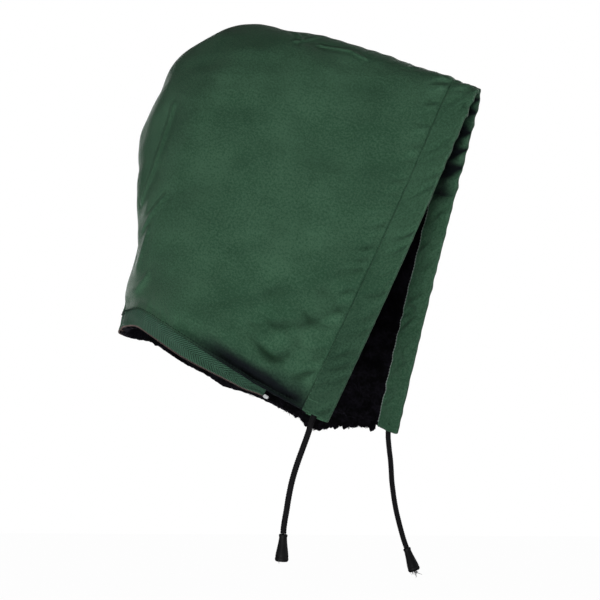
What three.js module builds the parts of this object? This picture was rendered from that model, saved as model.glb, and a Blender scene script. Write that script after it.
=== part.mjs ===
// A detachable hood: two outer panels with a centre seam, a drawcord casing along
// each front edge, a pile lining, half a zip round the neck, and two free cord ends.
// Millimetres, +Z up, the wearer faces +X, and the origin is where the crown of the
// wearer's head meets the lining.
import * as THREE from "three";

// Driving dimensions of the hood's form
const HOOD_DEPTH = 349;
const HOOD_HEIGHT = 383;
const HALF_WIDTH = 115;

// Layers, from the outer face inward
const PANEL_THICK = 1.8;
const PILE_THICK = 7;
const CLEAR = 0.3;

// Drawcord casing along the front edge
const CASING_WIDTH = 25;
const CASING_THICK = 8;
const CASING_CLOTH = 1.15;

// Trim round the neck
const LINING_HANG = 16;
const LINING_HANG_FRONT = 5;
const HANG_RUN = 36;
const ZIP_SETBACK = 36;
const TAPE_WIDTH = 14;
const TAPE_THICK = 1.2;
const TAPE_INSET = 0.5;
const TAPE_DROP = 0.7;
const TEETH_WIDTH = 2.2;
const TEETH_THICK = 2;
const STOP_LENGTH = 6;
const STOP_WIDTH = 5;
const STOP_THICK = 2.4;

// Drawcord and its bell-shaped ends
const CORD_DIAMETER = 5;
const CORD_SIDES = 8;
const CORD_STEP = 12;
const BELL_LENGTH = 23;
const BELL_NECK_DIAMETER = 7.4;
const BELL_DIAMETER = 11.6;
const BELL_SIDES = 12;

// How finely the cloth is divided
const ROWS = 22;
const COLUMNS = 18;
const CASING_STATIONS = 24;
const NUDGE = 0.004;
const SEARCH_ROWS = 2;
const HALVINGS = 24;

// Colours
const GREEN = new THREE.MeshStandardMaterial({ color: 0x2d553e, roughness: 0.62, metalness: 0 });
const TAPE_GREEN = new THREE.MeshStandardMaterial({ color: 0x24503a, roughness: 0.8, metalness: 0 });
const COIL_BROWN = new THREE.MeshStandardMaterial({ color: 0x635552, roughness: 0.5, metalness: 0 });
const PILE_BLACK = new THREE.MeshStandardMaterial({ color: 0x15141a, roughness: 0.95, metalness: 0 });
const CORD_BLACK = new THREE.MeshStandardMaterial({ color: 0x18181b, roughness: 0.8, metalness: 0 });
const PLASTIC_BLACK = new THREE.MeshStandardMaterial({ color: 0x1c1c1f, roughness: 0.45, metalness: 0 });
const STOP_WHITE = new THREE.MeshStandardMaterial({ color: 0xd9dadb, roughness: 0.35, metalness: 0 });

// Sections of one half, from the front edge to low on the back. Each is an arch from its
// foot on the neck edge to its top on the centre seam, and the last is the neck edge
// across the nape. Lengths along X are shares of HOOD_DEPTH, along Z of HOOD_HEIGHT and
// across of HALF_WIDTH. Rise is how far up the arch its lower handle reaches, bulge moves
// that handle outward, sweep lays it along the neck edge instead, and round is how far the
// upper handle reaches from the seam. Droop is how much lower the left foot hangs than
// the right one, because the cloth is slack there, a share of HOOD_HEIGHT.
const SECTIONS = [
  // front edge, just behind it, and the brow
  {
    topX: 0.631, topZ: -0.174, footX: 0.312, footY: 0.922, footZ: -0.969,
    rise: 0.8, bulge: -0.078, round: 0.191, droop: 0,
  },
  {
    topX: 0.566, topZ: -0.147, footX: 0.249, footY: 0.948, footZ: -0.943,
    rise: 0.76, bulge: -0.1, round: 0.261, droop: 0,
  },
  {
    topX: 0.318, topZ: -0.047, footX: 0.149, footY: 0.983, footZ: -0.893,
    rise: 0.66, bulge: 0.06, round: 0.5, droop: 0.016,
  },
  // over the head
  {
    topX: 0.123, topZ: 0.016, footX: 0.049, footY: 1, footZ: -0.838,
    rise: 0.58, bulge: 0.27, round: 0.74, droop: 0.052,
  },
  {
    topX: -0.04, topZ: 0.031, footX: -0.049, footY: 0.983, footZ: -0.783,
    rise: 0.55, bulge: 0.38, round: 0.84, droop: 0.066,
  },
  {
    topX: -0.192, topZ: -0.037, footX: -0.138, footY: 0.913, footZ: -0.734,
    rise: 0.54, bulge: 0.36, round: 0.82, droop: 0.078,
  },
  // down the back
  {
    topX: -0.271, topZ: -0.209, footX: -0.216, footY: 0.79, footZ: -0.697,
    rise: 0.53, bulge: 0.24, round: 0.74, droop: 0.083,
  },
  {
    topX: -0.286, topZ: -0.439, footX: -0.28, footY: 0.609, footZ: -0.689,
    rise: 0.53, bulge: 0.13, round: 0.52, droop: 0.055,
  },
  {
    topX: -0.369, topZ: -0.689, footX: -0.332, footY: 0.383, footZ: -0.689,
    sweep: 0.12, round: 0.19, droop: 0.013,
  },
];

// Dents and folds of the cloth. Row counts sections from the front edge, along runs from
// 0 at the neck edge to 1 at the centre seam, the spreads are in the same units, and
// depth is a share of HALF_WIDTH.
const DENTS = [
  // dip in the top line behind the crown's fullness
  { row: 3.05, along: 1, rowSpread: 0.22, alongSpread: 0.16, depth: 0.026 },
  // hollow in front of the neck and folds above the casing's foot
  { row: 2.3, along: 0.1, rowSpread: 0.5, alongSpread: 0.08, depth: 0.03 },
  { row: 1.7, along: 0.16, rowSpread: 0.22, alongSpread: 0.1, depth: 0.022 },
  // hollow along the back above the nape
  { row: 7.1, along: 0.75, rowSpread: 0.5, alongSpread: 0.22, depth: 0.03 },
];

// Profile of the casing, round from the stitch line over the front fold and back.
// Across is a share of CASING_WIDTH from the front fold, and deep of CASING_THICK.
const CASING_PROFILE = [
  { across: 1, deep: 0 },
  { across: 0.55, deep: 0 },
  { across: 0.15, deep: 0 },
  { across: 0.03, deep: 0.2 },
  { across: 0, deep: 0.5 },
  { across: 0.03, deep: 0.8 },
  { across: 0.15, deep: 1 },
  { across: 0.55, deep: 1 },
  { across: 1, deep: 1 },
];

// Routes of the two free cord ends, from inside the casing to the bell-shaped end
const CORD_ROUTE_RIGHT = [
  [101.9, -97.1, -349.2], [98.7, -100.6, -358.1], [95.5, -104.0, -366.9], [93.7, -105.8, -372.4],
  [91.9, -106.9, -379.6], [89.3, -107.3, -387.1], [86.0, -107.2, -395.4], [82.6, -106.9, -403.8],
  [79.4, -106.3, -412.1], [76.7, -106.0, -420.5], [74.6, -105.8, -428.8], [72.8, -105.5, -437.2],
  [71.3, -105.2, -445.5], [69.8, -105.0, -453.0], [68.6, -104.8, -460.0], [68.2, -104.7, -465.2],
];
const CORD_ROUTE_LEFT = [
  [105.0, 96.5, -350.5], [101.8, 99.9, -359.3], [98.8, 103.2, -368.2], [97.9, 105.1, -374.4],
  [98.0, 106.3, -381.3], [98.6, 106.8, -389.0], [99.6, 106.8, -397.6], [100.3, 106.5, -407.2],
  [101.0, 105.7, -416.8], [102.1, 105.5, -426.3], [103.5, 105.2, -435.9], [105.3, 104.9, -445.4],
  [107.6, 104.6, -454.9], [110.2, 104.3, -464.4], [113.0, 104.1, -473.8], [115.6, 104.0, -481.0],
];

// Form of the cloth's outer face
const lerp = THREE.MathUtils.lerp;
const vector = (x, y, z) => new THREE.Vector3(x, y, z);

function place(x, y, z) {
  return vector(x * HOOD_DEPTH, -y * HALF_WIDTH, z * HOOD_HEIGHT);
}

// Four handles for each section. Slack is 1 on the left half and 0 on the right.
function handlesOf(slack) {
  const rows = [];
  for (const section of SECTIONS) {
    const foot = place(section.footX, section.footY, section.footZ - slack * section.droop);
    const top = place(section.topX, 0, section.topZ);
    let lower;
    if (section.sweep) {
      const onward = foot.clone().sub(rows[rows.length - 1][0]).normalize();
      lower = foot.clone().addScaledVector(onward, section.sweep * HALF_WIDTH);
    } else {
      lower = foot.clone().lerp(top, section.rise);
      lower.y -= section.bulge * HALF_WIDTH;
    }
    const upper = top.clone();
    upper.y -= section.round * HALF_WIDTH;
    rows.push([foot, lower, upper, top]);
  }
  return rows;
}

const LAST_ROW = SECTIONS.length - 1;

// Catmull-Rom blend of four values, at a share of the way from the second to the third
function blend(a, b, c, d, f) {
  const slope = c - a;
  const curve = 2 * a - 5 * b + 4 * c - d;
  const twist = 3 * b - a - 3 * c + d;
  return (2 * b + slope * f + curve * f * f + twist * f * f * f) / 2;
}

function handleAt(half, row, index) {
  const base = Math.min(Math.floor(row), LAST_ROW - 1);
  const around = [base - 1, base, base + 1, base + 2];
  const [a, b, c, d] = around.map((k) => half[Math.min(Math.max(k, 0), LAST_ROW)][index]);
  const f = row - base;
  return vector(blend(a.x, b.x, c.x, d.x, f), blend(a.y, b.y, c.y, d.y, f), blend(a.z, b.z, c.z, d.z, f));
}

function smoothPoint(half, row, along) {
  const [a, b, c, d] = [0, 1, 2, 3].map((index) => handleAt(half, row, index));
  const rest = 1 - along;
  return vector(0, 0, 0)
    .addScaledVector(a, rest * rest * rest)
    .addScaledVector(b, 3 * rest * rest * along)
    .addScaledVector(c, 3 * rest * along * along)
    .addScaledVector(d, along * along * along);
}

function normalOf(pointAt, half, row, along) {
  const onward = pointAt(half, Math.min(row + NUDGE, LAST_ROW), along);
  const upward = pointAt(half, row, Math.min(along + NUDGE, 1));
  onward.sub(pointAt(half, Math.max(row - NUDGE, 0), along));
  upward.sub(pointAt(half, row, Math.max(along - NUDGE, 0)));
  const normal = upward.cross(onward);
  if (along === 1) {
    normal.y = 0;
  }
  return normal.normalize();
}

function dentDepth(row, along) {
  let depth = 0;
  for (const dent of DENTS) {
    const r = (row - dent.row) / dent.rowSpread;
    const s = (along - dent.along) / dent.alongSpread;
    depth += dent.depth * HALF_WIDTH * Math.exp(-r * r - s * s);
  }
  return depth;
}

function clothPoint(half, row, along) {
  const normal = normalOf(smoothPoint, half, row, along);
  return smoothPoint(half, row, along).addScaledVector(normal, -dentDepth(row, along));
}

function clothNormal(half, row, along) {
  return normalOf(clothPoint, half, row, along);
}

// The row at a given distance behind the front edge, found by halving
function rowBehindFront(half, along, distance) {
  const front = clothPoint(half, 0, along);
  let low = 0;
  let high = SEARCH_ROWS;
  for (let pass = 0; pass < HALVINGS; pass += 1) {
    const middle = (low + high) / 2;
    if (clothPoint(half, middle, along).distanceTo(front) < distance) {
      low = middle;
    } else {
      high = middle;
    }
  }
  return (low + high) / 2;
}

// Closed solids from points and triangles
function closedGeometry(points, triangles) {
  let volume = 0;
  for (const [a, b, c] of triangles) {
    volume += points[a].dot(points[b].clone().cross(points[c]));
  }
  const faces = volume > 0 ? triangles : triangles.map(([a, b, c]) => [a, c, b]);
  const geometry = new THREE.BufferGeometry();
  const numbers = points.flatMap((point) => [point.x, point.y, point.z]);
  geometry.setAttribute("position", new THREE.Float32BufferAttribute(numbers, 3));
  geometry.setIndex(faces.flat());
  geometry.computeVertexNormals();
  return geometry;
}

// A sheet of cloth: the skin between an outer and an inner depth, with its edges closed
function sheetGeometry(skin, outerDepth, innerDepth) {
  const offset = (depth) => skin.points.map((point, i) => {
    const moved = point.clone().addScaledVector(skin.normals[i], -depth);
    moved.y = Math.min(moved.y, -CLEAR / 2);
    return moved;
  });
  const points = [...offset(outerDepth), ...offset(innerDepth)];
  const count = skin.points.length;
  const directed = new Set();
  for (const [a, b, c] of skin.triangles) {
    directed.add(`${a}:${b}`);
    directed.add(`${b}:${c}`);
    directed.add(`${c}:${a}`);
  }
  const triangles = [];
  for (const [a, b, c] of skin.triangles) {
    triangles.push([a, b, c], [c + count, b + count, a + count]);
    for (const [from, to] of [[a, b], [b, c], [c, a]]) {
      if (!directed.has(`${to}:${from}`)) {
        triangles.push([to, from, from + count], [to, from + count, to + count]);
      }
    }
  }
  return closedGeometry(points, triangles);
}

// A band swept through stations, each a ring of points in the same order, whose facets
// mirror each other about the middle station
function sweptGeometry(rings, middle) {
  const sides = rings[0].length;
  const triangles = [];
  for (let i = 0; i < rings.length - 1; i += 1) {
    for (let j = 0; j < sides; j += 1) {
      const a = i * sides + j;
      const b = i * sides + ((j + 1) % sides);
      if (i < middle) {
        triangles.push([a, b, b + sides], [a, b + sides, a + sides]);
      } else {
        triangles.push([a, b, a + sides], [b, b + sides, a + sides]);
      }
    }
  }
  const last = (rings.length - 1) * sides;
  for (let j = 1; j < sides - 1; j += 1) {
    triangles.push([0, j + 1, j], [last, last + j, last + j + 1]);
  }
  return closedGeometry(rings.flat(), triangles);
}

// Turns a geometry made on the right into one on the left
function mirrored(geometry) {
  const copy = geometry.clone();
  copy.scale(1, -1, 1);
  const index = copy.getIndex();
  for (let i = 0; i < index.count; i += 3) {
    const second = index.getX(i + 1);
    index.setX(i + 1, index.getX(i + 2));
    index.setX(i + 2, second);
  }
  copy.computeVertexNormals();
  return copy;
}

// Skin of one half behind the casing: a grid of points, normals and triangles
function halfSkin(half) {
  const points = [];
  const normals = [];
  const triangles = [];
  const startRows = [];
  for (let j = 0; j <= COLUMNS; j += 1) {
    startRows.push(rowBehindFront(half, j / COLUMNS, CASING_WIDTH + CLEAR));
  }
  for (let i = 0; i <= ROWS; i += 1) {
    for (let j = 0; j <= COLUMNS; j += 1) {
      const row = lerp(startRows[j], LAST_ROW, i / ROWS);
      points.push(clothPoint(half, row, j / COLUMNS));
      normals.push(vector(0, 0, 0));
    }
  }
  const at = (i, j) => i * (COLUMNS + 1) + j;
  for (let i = 0; i < ROWS; i += 1) {
    for (let j = 0; j < COLUMNS; j += 1) {
      const [a, b, c, d] = [at(i, j), at(i + 1, j), at(i + 1, j + 1), at(i, j + 1)];
      triangles.push([a, b, d], [b, c, d]);
    }
  }
  for (const [a, b, c] of triangles) {
    const facing = points[c].clone().sub(points[a]).cross(points[b].clone().sub(points[a]));
    [a, b, c].forEach((vertex) => normals[vertex].add(facing));
  }
  for (let i = 0; i <= ROWS; i += 1) {
    normals[at(i, COLUMNS)].y = 0;
  }
  normals.forEach((normal) => normal.normalize());
  const border = [];
  for (let i = 0; i <= ROWS; i += 1) {
    border.push(at(i, 0));
  }
  for (let j = 1; j <= COLUMNS; j += 1) {
    border.push(at(ROWS, j));
  }
  return { points, normals, triangles, border };
}

// The neck edge of one half as stations: point, outward normal, onward and downward
// directions, and distance from the casing
function neckStations(skin) {
  const stations = [];
  let distance = 0;
  skin.border.forEach((vertex, k) => {
    const point = skin.points[vertex];
    const before = skin.points[skin.border[Math.max(k - 1, 0)]];
    const after = skin.points[skin.border[Math.min(k + 1, skin.border.length - 1)]];
    const onward = after.clone().sub(before).normalize();
    const normal = skin.normals[vertex].clone();
    if (k === skin.border.length - 1) {
      onward.set(0, 1, 0);
    }
    const down = onward.clone().cross(normal).normalize();
    if (down.z > 0) {
      down.negate();
    }
    distance += point.distanceTo(before);
    stations.push({ point, normal, onward, down, distance });
  });
  return stations;
}

function stationAt(stations, distance) {
  const k = Math.max(stations.findIndex((station) => station.distance > distance), 1);
  const [a, b] = [stations[k - 1], stations[k]];
  const f = (distance - a.distance) / (b.distance - a.distance);
  const mix = (name) => a[name].clone().lerp(b[name], f);
  return {
    point: mix("point"),
    normal: mix("normal").normalize(),
    onward: mix("onward").normalize(),
    down: mix("down").normalize(),
    distance,
  };
}

function mirrorStation(station) {
  const flip = (v, sign) => vector(v.x * sign, -v.y * sign, v.z * sign);
  return {
    point: flip(station.point, 1),
    normal: flip(station.normal, 1),
    onward: flip(station.onward, -1),
    down: flip(station.down, 1),
    distance: station.distance,
  };
}

// A point hanging below the neck edge, at a depth inside the outer face
function hung(station, drop, depth) {
  return station.point.clone().addScaledVector(station.down, drop).addScaledVector(station.normal, -depth);
}

// The skin with a strip added below the neck edge, for the lining that hangs out there
function skinWithHang(skin, stations) {
  const points = [...skin.points];
  const normals = [...skin.normals];
  const triangles = [...skin.triangles];
  const first = points.length;
  stations.forEach((station) => {
    const share = THREE.MathUtils.clamp((station.distance - ZIP_SETBACK) / HANG_RUN, 0, 1);
    points.push(hung(station, lerp(LINING_HANG_FRONT, LINING_HANG, share), 0));
    normals.push(station.normal);
  });
  for (let k = 0; k < stations.length - 1; k += 1) {
    const [a, b] = [skin.border[k], skin.border[k + 1]];
    triangles.push([b, a, first + k], [b, first + k, first + k + 1]);
  }
  return { points, normals, triangles };
}

// Sub-parts
function panelGeometry(skin) {
  return sheetGeometry(skin, 0, PANEL_THICK);
}

function liningGeometry(skin, stations) {
  const outer = PANEL_THICK + CLEAR;
  return sheetGeometry(skinWithHang(skin, stations), outer, outer + PILE_THICK);
}

// The casing is a flat tunnel, open at its foot and at the centre seam
function casingGeometry(half) {
  const sides = CASING_PROFILE.length;
  const rings = [];
  for (let k = 0; k <= CASING_STATIONS; k += 1) {
    const along = k / CASING_STATIONS;
    for (const inset of [0, CASING_CLOTH]) {
      for (const { across, deep } of CASING_PROFILE) {
        const distance = lerp(inset, CASING_WIDTH - inset, across);
        const row = rowBehindFront(half, along, distance);
        const depth = lerp(inset, CASING_THICK - inset, deep);
        const point = clothPoint(half, row, along).addScaledVector(clothNormal(half, row, along), -depth);
        point.y = Math.min(point.y, -CLEAR / 2);
        rings.push(point);
      }
    }
  }
  const ring = (k, layer, j) => (2 * k + layer) * sides + (j % sides);
  const triangles = [];
  const quad = (a, b, c, d) => triangles.push([a, b, c], [a, c, d]);
  for (let k = 0; k < CASING_STATIONS; k += 1) {
    for (let j = 0; j < sides; j += 1) {
      quad(ring(k, 0, j), ring(k, 0, j + 1), ring(k + 1, 0, j + 1), ring(k + 1, 0, j));
      quad(ring(k, 1, j + 1), ring(k, 1, j), ring(k + 1, 1, j), ring(k + 1, 1, j + 1));
    }
  }
  for (let j = 0; j < sides; j += 1) {
    quad(ring(0, 0, j + 1), ring(0, 0, j), ring(0, 1, j), ring(0, 1, j + 1));
    quad(
      ring(CASING_STATIONS, 0, j), ring(CASING_STATIONS, 0, j + 1),
      ring(CASING_STATIONS, 1, j + 1), ring(CASING_STATIONS, 1, j),
    );
  }
  return closedGeometry(rings, triangles);
}

// Stations of the zip along one half, from its front end to the nape
function zipStations(stations) {
  return [stationAt(stations, ZIP_SETBACK), ...stations.filter((s) => s.distance > ZIP_SETBACK + CLEAR)];
}

// A band along the whole zip, from a function that makes the ring of one station
function zipGeometry(rightStations, leftStations, ringOf) {
  const right = zipStations(rightStations);
  const left = zipStations(leftStations).slice(0, -1).reverse().map(mirrorStation);
  return sweptGeometry([...right, ...left].map(ringOf), right.length - 1);
}

function zipTapeGeometry(rightStations, leftStations) {
  const near = TAPE_INSET;
  const far = TAPE_INSET + TAPE_THICK;
  return zipGeometry(rightStations, leftStations, (station) => [
    hung(station, TAPE_DROP, near),
    hung(station, TAPE_DROP + TAPE_WIDTH, near),
    hung(station, TAPE_DROP + TAPE_WIDTH, far),
    hung(station, TAPE_DROP, far),
  ]);
}

function zipTeethGeometry(rightStations, leftStations) {
  const middle = TAPE_INSET + TAPE_THICK / 2;
  const upper = TAPE_DROP + TAPE_WIDTH + CLEAR;
  return zipGeometry(rightStations, leftStations, (station) => [
    hung(station, upper, middle),
    hung(station, upper + TEETH_WIDTH / 2, middle - TEETH_THICK / 2),
    hung(station, upper + TEETH_WIDTH, middle),
    hung(station, upper + TEETH_WIDTH / 2, middle + TEETH_THICK / 2),
  ]);
}

function zipStopMesh(stations) {
  const station = stationAt(stations, ZIP_SETBACK - CLEAR - STOP_LENGTH / 2);
  const mesh = new THREE.Mesh(new THREE.BoxGeometry(STOP_LENGTH, STOP_WIDTH, STOP_THICK), STOP_WHITE);
  const normal = station.normal;
  const onward = station.onward.clone().addScaledVector(normal, -station.onward.dot(normal)).normalize();
  const across = normal.clone().cross(onward);
  mesh.quaternion.setFromRotationMatrix(new THREE.Matrix4().makeBasis(onward, across, normal));
  mesh.position.copy(hung(station, TAPE_DROP + TAPE_WIDTH - STOP_WIDTH / 2, PANEL_THICK - STOP_THICK / 2));
  return mesh;
}

function cordGeometry(route) {
  const curve = new THREE.CatmullRomCurve3(route.map((point) => vector(...point)), false, "centripetal");
  const section = new THREE.Shape();
  for (let k = 0; k < CORD_SIDES; k += 1) {
    const angle = (2 * Math.PI * k) / CORD_SIDES;
    const [x, y] = [Math.cos(angle) * CORD_DIAMETER / 2, Math.sin(angle) * CORD_DIAMETER / 2];
    if (k === 0) {
      section.moveTo(x, y);
    } else {
      section.lineTo(x, y);
    }
  }
  const steps = Math.round(curve.getLength() / CORD_STEP);
  return new THREE.ExtrudeGeometry(section, { steps, bevelEnabled: false, extrudePath: curve });
}

// Profile of a bell-shaped cord end: share of its length down from the cord, and share
// of the way from the neck's radius to the full radius
const BELL_PROFILE = [
  { down: 0, flare: 0 },
  { down: 0.16, flare: 0.05 },
  { down: 0.45, flare: 0.45 },
  { down: 0.72, flare: 0.9 },
  { down: 0.86, flare: 1 },
  { down: 0.95, flare: 0.8 },
  { down: 1, flare: 0.2 },
];

function bellMesh(route) {
  const neck = BELL_NECK_DIAMETER / 2;
  const full = BELL_DIAMETER / 2;
  const spot = (radius, down) => new THREE.Vector2(radius, -down * BELL_LENGTH);
  const outline = BELL_PROFILE.map(({ down, flare }) => spot(lerp(neck, full, flare), down));
  const profile = [spot(0, 0), ...outline, spot(0, 1)].reverse();
  const mesh = new THREE.Mesh(new THREE.LatheGeometry(profile, BELL_SIDES), PLASTIC_BLACK);
  const end = vector(...route[route.length - 1]);
  const before = vector(...route[route.length - 2]);
  const onward = end.clone().sub(before).normalize();
  mesh.quaternion.setFromUnitVectors(vector(0, -1, 0), onward);
  mesh.position.copy(end.addScaledVector(onward, CLEAR));
  return mesh;
}

// The assembly
const hood = new THREE.Group();

function add(name, meshOrGeometry, material) {
  const mesh = meshOrGeometry.isMesh ? meshOrGeometry : new THREE.Mesh(meshOrGeometry, material);
  mesh.name = name;
  hood.add(mesh);
}

const right = handlesOf(0);
const left = handlesOf(1);
const rightSkin = halfSkin(right);
const leftSkin = halfSkin(left);
const rightNeck = neckStations(rightSkin);
const leftNeck = neckStations(leftSkin);

add("panel_right", panelGeometry(rightSkin), GREEN);
add("panel_left", mirrored(panelGeometry(leftSkin)), GREEN);
add("casing_right", casingGeometry(right), GREEN);
add("casing_left", mirrored(casingGeometry(left)), GREEN);
add("lining_right", liningGeometry(rightSkin, rightNeck), PILE_BLACK);
add("lining_left", mirrored(liningGeometry(leftSkin, leftNeck)), PILE_BLACK);
add("zip_tape", zipTapeGeometry(rightNeck, leftNeck), TAPE_GREEN);
add("zip_teeth", zipTeethGeometry(rightNeck, leftNeck), COIL_BROWN);
add("zip_stop", zipStopMesh(rightNeck));
add("drawcord_right", cordGeometry(CORD_ROUTE_RIGHT), CORD_BLACK);
add("drawcord_left", cordGeometry(CORD_ROUTE_LEFT), CORD_BLACK);
add("cord_end_right", bellMesh(CORD_ROUTE_RIGHT));
add("cord_end_left", bellMesh(CORD_ROUTE_LEFT));

export default hood;
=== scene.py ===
import math

import bpy
import numpy as np
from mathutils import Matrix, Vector


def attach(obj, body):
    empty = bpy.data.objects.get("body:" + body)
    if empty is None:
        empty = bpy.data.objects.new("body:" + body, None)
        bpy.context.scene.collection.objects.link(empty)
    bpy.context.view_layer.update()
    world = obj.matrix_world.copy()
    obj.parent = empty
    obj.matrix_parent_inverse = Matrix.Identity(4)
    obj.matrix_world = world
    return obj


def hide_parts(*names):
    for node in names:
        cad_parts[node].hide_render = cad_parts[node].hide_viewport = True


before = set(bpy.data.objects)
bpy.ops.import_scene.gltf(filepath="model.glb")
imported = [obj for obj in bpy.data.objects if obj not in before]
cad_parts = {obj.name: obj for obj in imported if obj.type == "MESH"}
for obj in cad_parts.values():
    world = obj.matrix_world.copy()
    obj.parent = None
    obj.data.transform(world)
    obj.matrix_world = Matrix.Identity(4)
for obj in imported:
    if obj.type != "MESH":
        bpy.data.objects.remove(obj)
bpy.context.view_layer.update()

MM = 0.001
TURN = 2 * math.pi
TINY = 1e-9
FAR = 1e9
SIDES = ("right", "left")
MIRROR = np.array([1, -1, 1])

# Camera at the photograph's viewing angle
LOOK_AT = Vector((0.045, 0, -0.252))
CAMERA_AZIMUTH = 20
CAMERA_ELEVATION = -8
CAMERA_DISTANCE = 1.4
FRAME_WIDTH = 0.558
SENSOR = 36

# Form of the hood, as in the solids
HOOD_DEPTH = 349
HOOD_HEIGHT = 383
HALF_WIDTH = 115
PANEL_THICK = 1.8
PILE_THICK = 7
CLEAR = 0.3
CASING_WIDTH = 25
LINING_HANG = 16
LINING_HANG_FRONT = 5
HANG_RUN = 36
ZIP_SETBACK = 36
TAPE_WIDTH = 14
TAPE_THICK = 1.2
TAPE_INSET = 0.5
TAPE_DROP = 0.7
CORD_DIAMETER = 5
BELL_LENGTH = 23
BELL_NECK_DIAMETER = 7.4
NUDGE = 0.004
SEARCH_ROWS = 2.0
HALVINGS = 18
LINING_DEPTH = PANEL_THICK + CLEAR
TAPE_REACH = TAPE_DROP + TAPE_WIDTH

# Seeds of the random draws
SEEDS = {
    "right": {"relief": 11, "tone": 61, "pile": 5, "pile_edge": 3, "casing": 71, "fringe": 17, "tip": 4},
    "left": {"relief": 47, "tone": 67, "pile": 25, "pile_edge": 33, "casing": 91, "fringe": 18, "tip": 6},
}
CASING_PUCKER_SEED = 77
TAPE_SEED = 8

# topX, topZ, footX, footY, footZ, rise, bulge, round, droop of each section
SECTIONS = [
    (0.631, -0.174, 0.312, 0.922, -0.969, 0.8, -0.078, 0.191, 0),
    (0.566, -0.147, 0.249, 0.948, -0.943, 0.76, -0.1, 0.261, 0),
    (0.318, -0.047, 0.149, 0.983, -0.893, 0.66, 0.06, 0.5, 0.016),
    (0.123, 0.016, 0.049, 1, -0.838, 0.58, 0.27, 0.74, 0.052),
    (-0.04, 0.031, -0.049, 0.983, -0.783, 0.55, 0.38, 0.84, 0.066),
    (-0.192, -0.037, -0.138, 0.913, -0.734, 0.54, 0.36, 0.82, 0.078),
    (-0.271, -0.209, -0.216, 0.79, -0.697, 0.53, 0.24, 0.74, 0.083),
    (-0.286, -0.439, -0.28, 0.609, -0.689, 0.53, 0.13, 0.52, 0.055),
]
# topX, topZ, footX, footY, footZ, sweep, round, droop of the neck edge across the nape
NAPE = (-0.369, -0.689, -0.332, 0.383, -0.689, 0.12, 0.19, 0.013)
# row, along, rowSpread, alongSpread, depth
DENTS = [
    (3.05, 1, 0.22, 0.16, 0.026),
    (2.3, 0.1, 0.5, 0.08, 0.03),
    (1.7, 0.16, 0.22, 0.1, 0.022),
    (7.1, 0.75, 0.5, 0.22, 0.03),
]
CORD_ROUTES = {
    "right": [
        (101.9, -97.1, -349.2), (98.7, -100.6, -358.1), (95.5, -104.0, -366.9), (93.7, -105.8, -372.4),
        (91.9, -106.9, -379.6), (89.3, -107.3, -387.1), (86.0, -107.2, -395.4), (82.6, -106.9, -403.8),
        (79.4, -106.3, -412.1), (76.7, -106.0, -420.5), (74.6, -105.8, -428.8), (72.8, -105.5, -437.2),
        (71.3, -105.2, -445.5), (69.8, -105.0, -453.0), (68.6, -104.8, -460.0), (68.2, -104.7, -465.2),
    ],
    "left": [
        (105.0, 96.5, -350.5), (101.8, 99.9, -359.3), (98.8, 103.2, -368.2), (97.9, 105.1, -374.4),
        (98.0, 106.3, -381.3), (98.6, 106.8, -389.0), (99.6, 106.8, -397.6), (100.3, 106.5, -407.2),
        (101.0, 105.7, -416.8), (102.1, 105.5, -426.3), (103.5, 105.2, -435.9), (105.3, 104.9, -445.4),
        (107.6, 104.6, -454.9), (110.2, 104.3, -464.4), (113.0, 104.1, -473.8), (115.6, 104.0, -481.0),
    ],
}


# The cloth's outer face
def unit(v):
    return v / np.maximum(np.linalg.norm(v, axis=-1, keepdims=True), TINY)


def place(x, y, z):
    return np.array([x * HOOD_DEPTH, -y * HALF_WIDTH, z * HOOD_HEIGHT])


def section_handles(slack):
    rows = []
    for top_x, top_z, foot_x, foot_y, foot_z, rise, bulge, roundness, droop in SECTIONS:
        foot = place(foot_x, foot_y, foot_z - slack * droop)
        top = place(top_x, 0, top_z)
        lower = foot + (top - foot) * rise + place(0, bulge, 0)
        upper = top + place(0, roundness, 0)
        rows.append([foot, lower, upper, top])
    top_x, top_z, foot_x, foot_y, foot_z, sweep, roundness, droop = NAPE
    foot = place(foot_x, foot_y, foot_z - slack * droop)
    top = place(top_x, 0, top_z)
    onward = unit(foot - rows[-1][0])
    rows.append([foot, foot + onward * sweep * HALF_WIDTH, top + place(0, roundness, 0), top])
    return np.array(rows)


# The left half's neck edge is slack and droops
HANDLES = {"right": section_handles(slack=0), "left": section_handles(slack=1)}
LAST_ROW = len(HANDLES["right"]) - 1


def smooth_point(side, row, along):
    handles = HANDLES[side]
    base = np.minimum(np.floor(row).astype(int), LAST_ROW - 1)
    f = (row - base)[..., None, None]
    a = handles[np.maximum(base - 1, 0)]
    b = handles[base]
    c = handles[base + 1]
    d = handles[np.minimum(base + 2, LAST_ROW)]
    h = 0.5 * (2 * b + (c - a) * f + (2 * a - 5 * b + 4 * c - d) * f**2 + (3 * b - a - 3 * c + d) * f**3)
    s = along[..., None]
    r = 1 - s
    return (r**3 * h[..., 0, :] + 3 * r * r * s * h[..., 1, :] + 3 * r * s * s * h[..., 2, :]
            + s**3 * h[..., 3, :])


def normal_of(point_at, side, row, along):
    onward = point_at(side, np.minimum(row + NUDGE, LAST_ROW), along)
    onward = onward - point_at(side, np.maximum(row - NUDGE, 0), along)
    upward = point_at(side, row, np.minimum(along + NUDGE, 1))
    upward = upward - point_at(side, row, np.maximum(along - NUDGE, 0))
    normal = np.cross(upward, onward)
    normal[..., 1] = np.where(along >= 1, 0, normal[..., 1])
    return unit(normal)


def cloth_point(side, row, along):
    depth = 0
    for dent_row, dent_along, row_spread, along_spread, share in DENTS:
        r = (row - dent_row) / row_spread
        s = (along - dent_along) / along_spread
        depth = depth + share * HALF_WIDTH * np.exp(-r * r - s * s)
    return smooth_point(side, row, along) - normal_of(smooth_point, side, row, along) * depth[..., None]


def cloth_normal(side, row, along):
    return normal_of(cloth_point, side, row, along)


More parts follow.
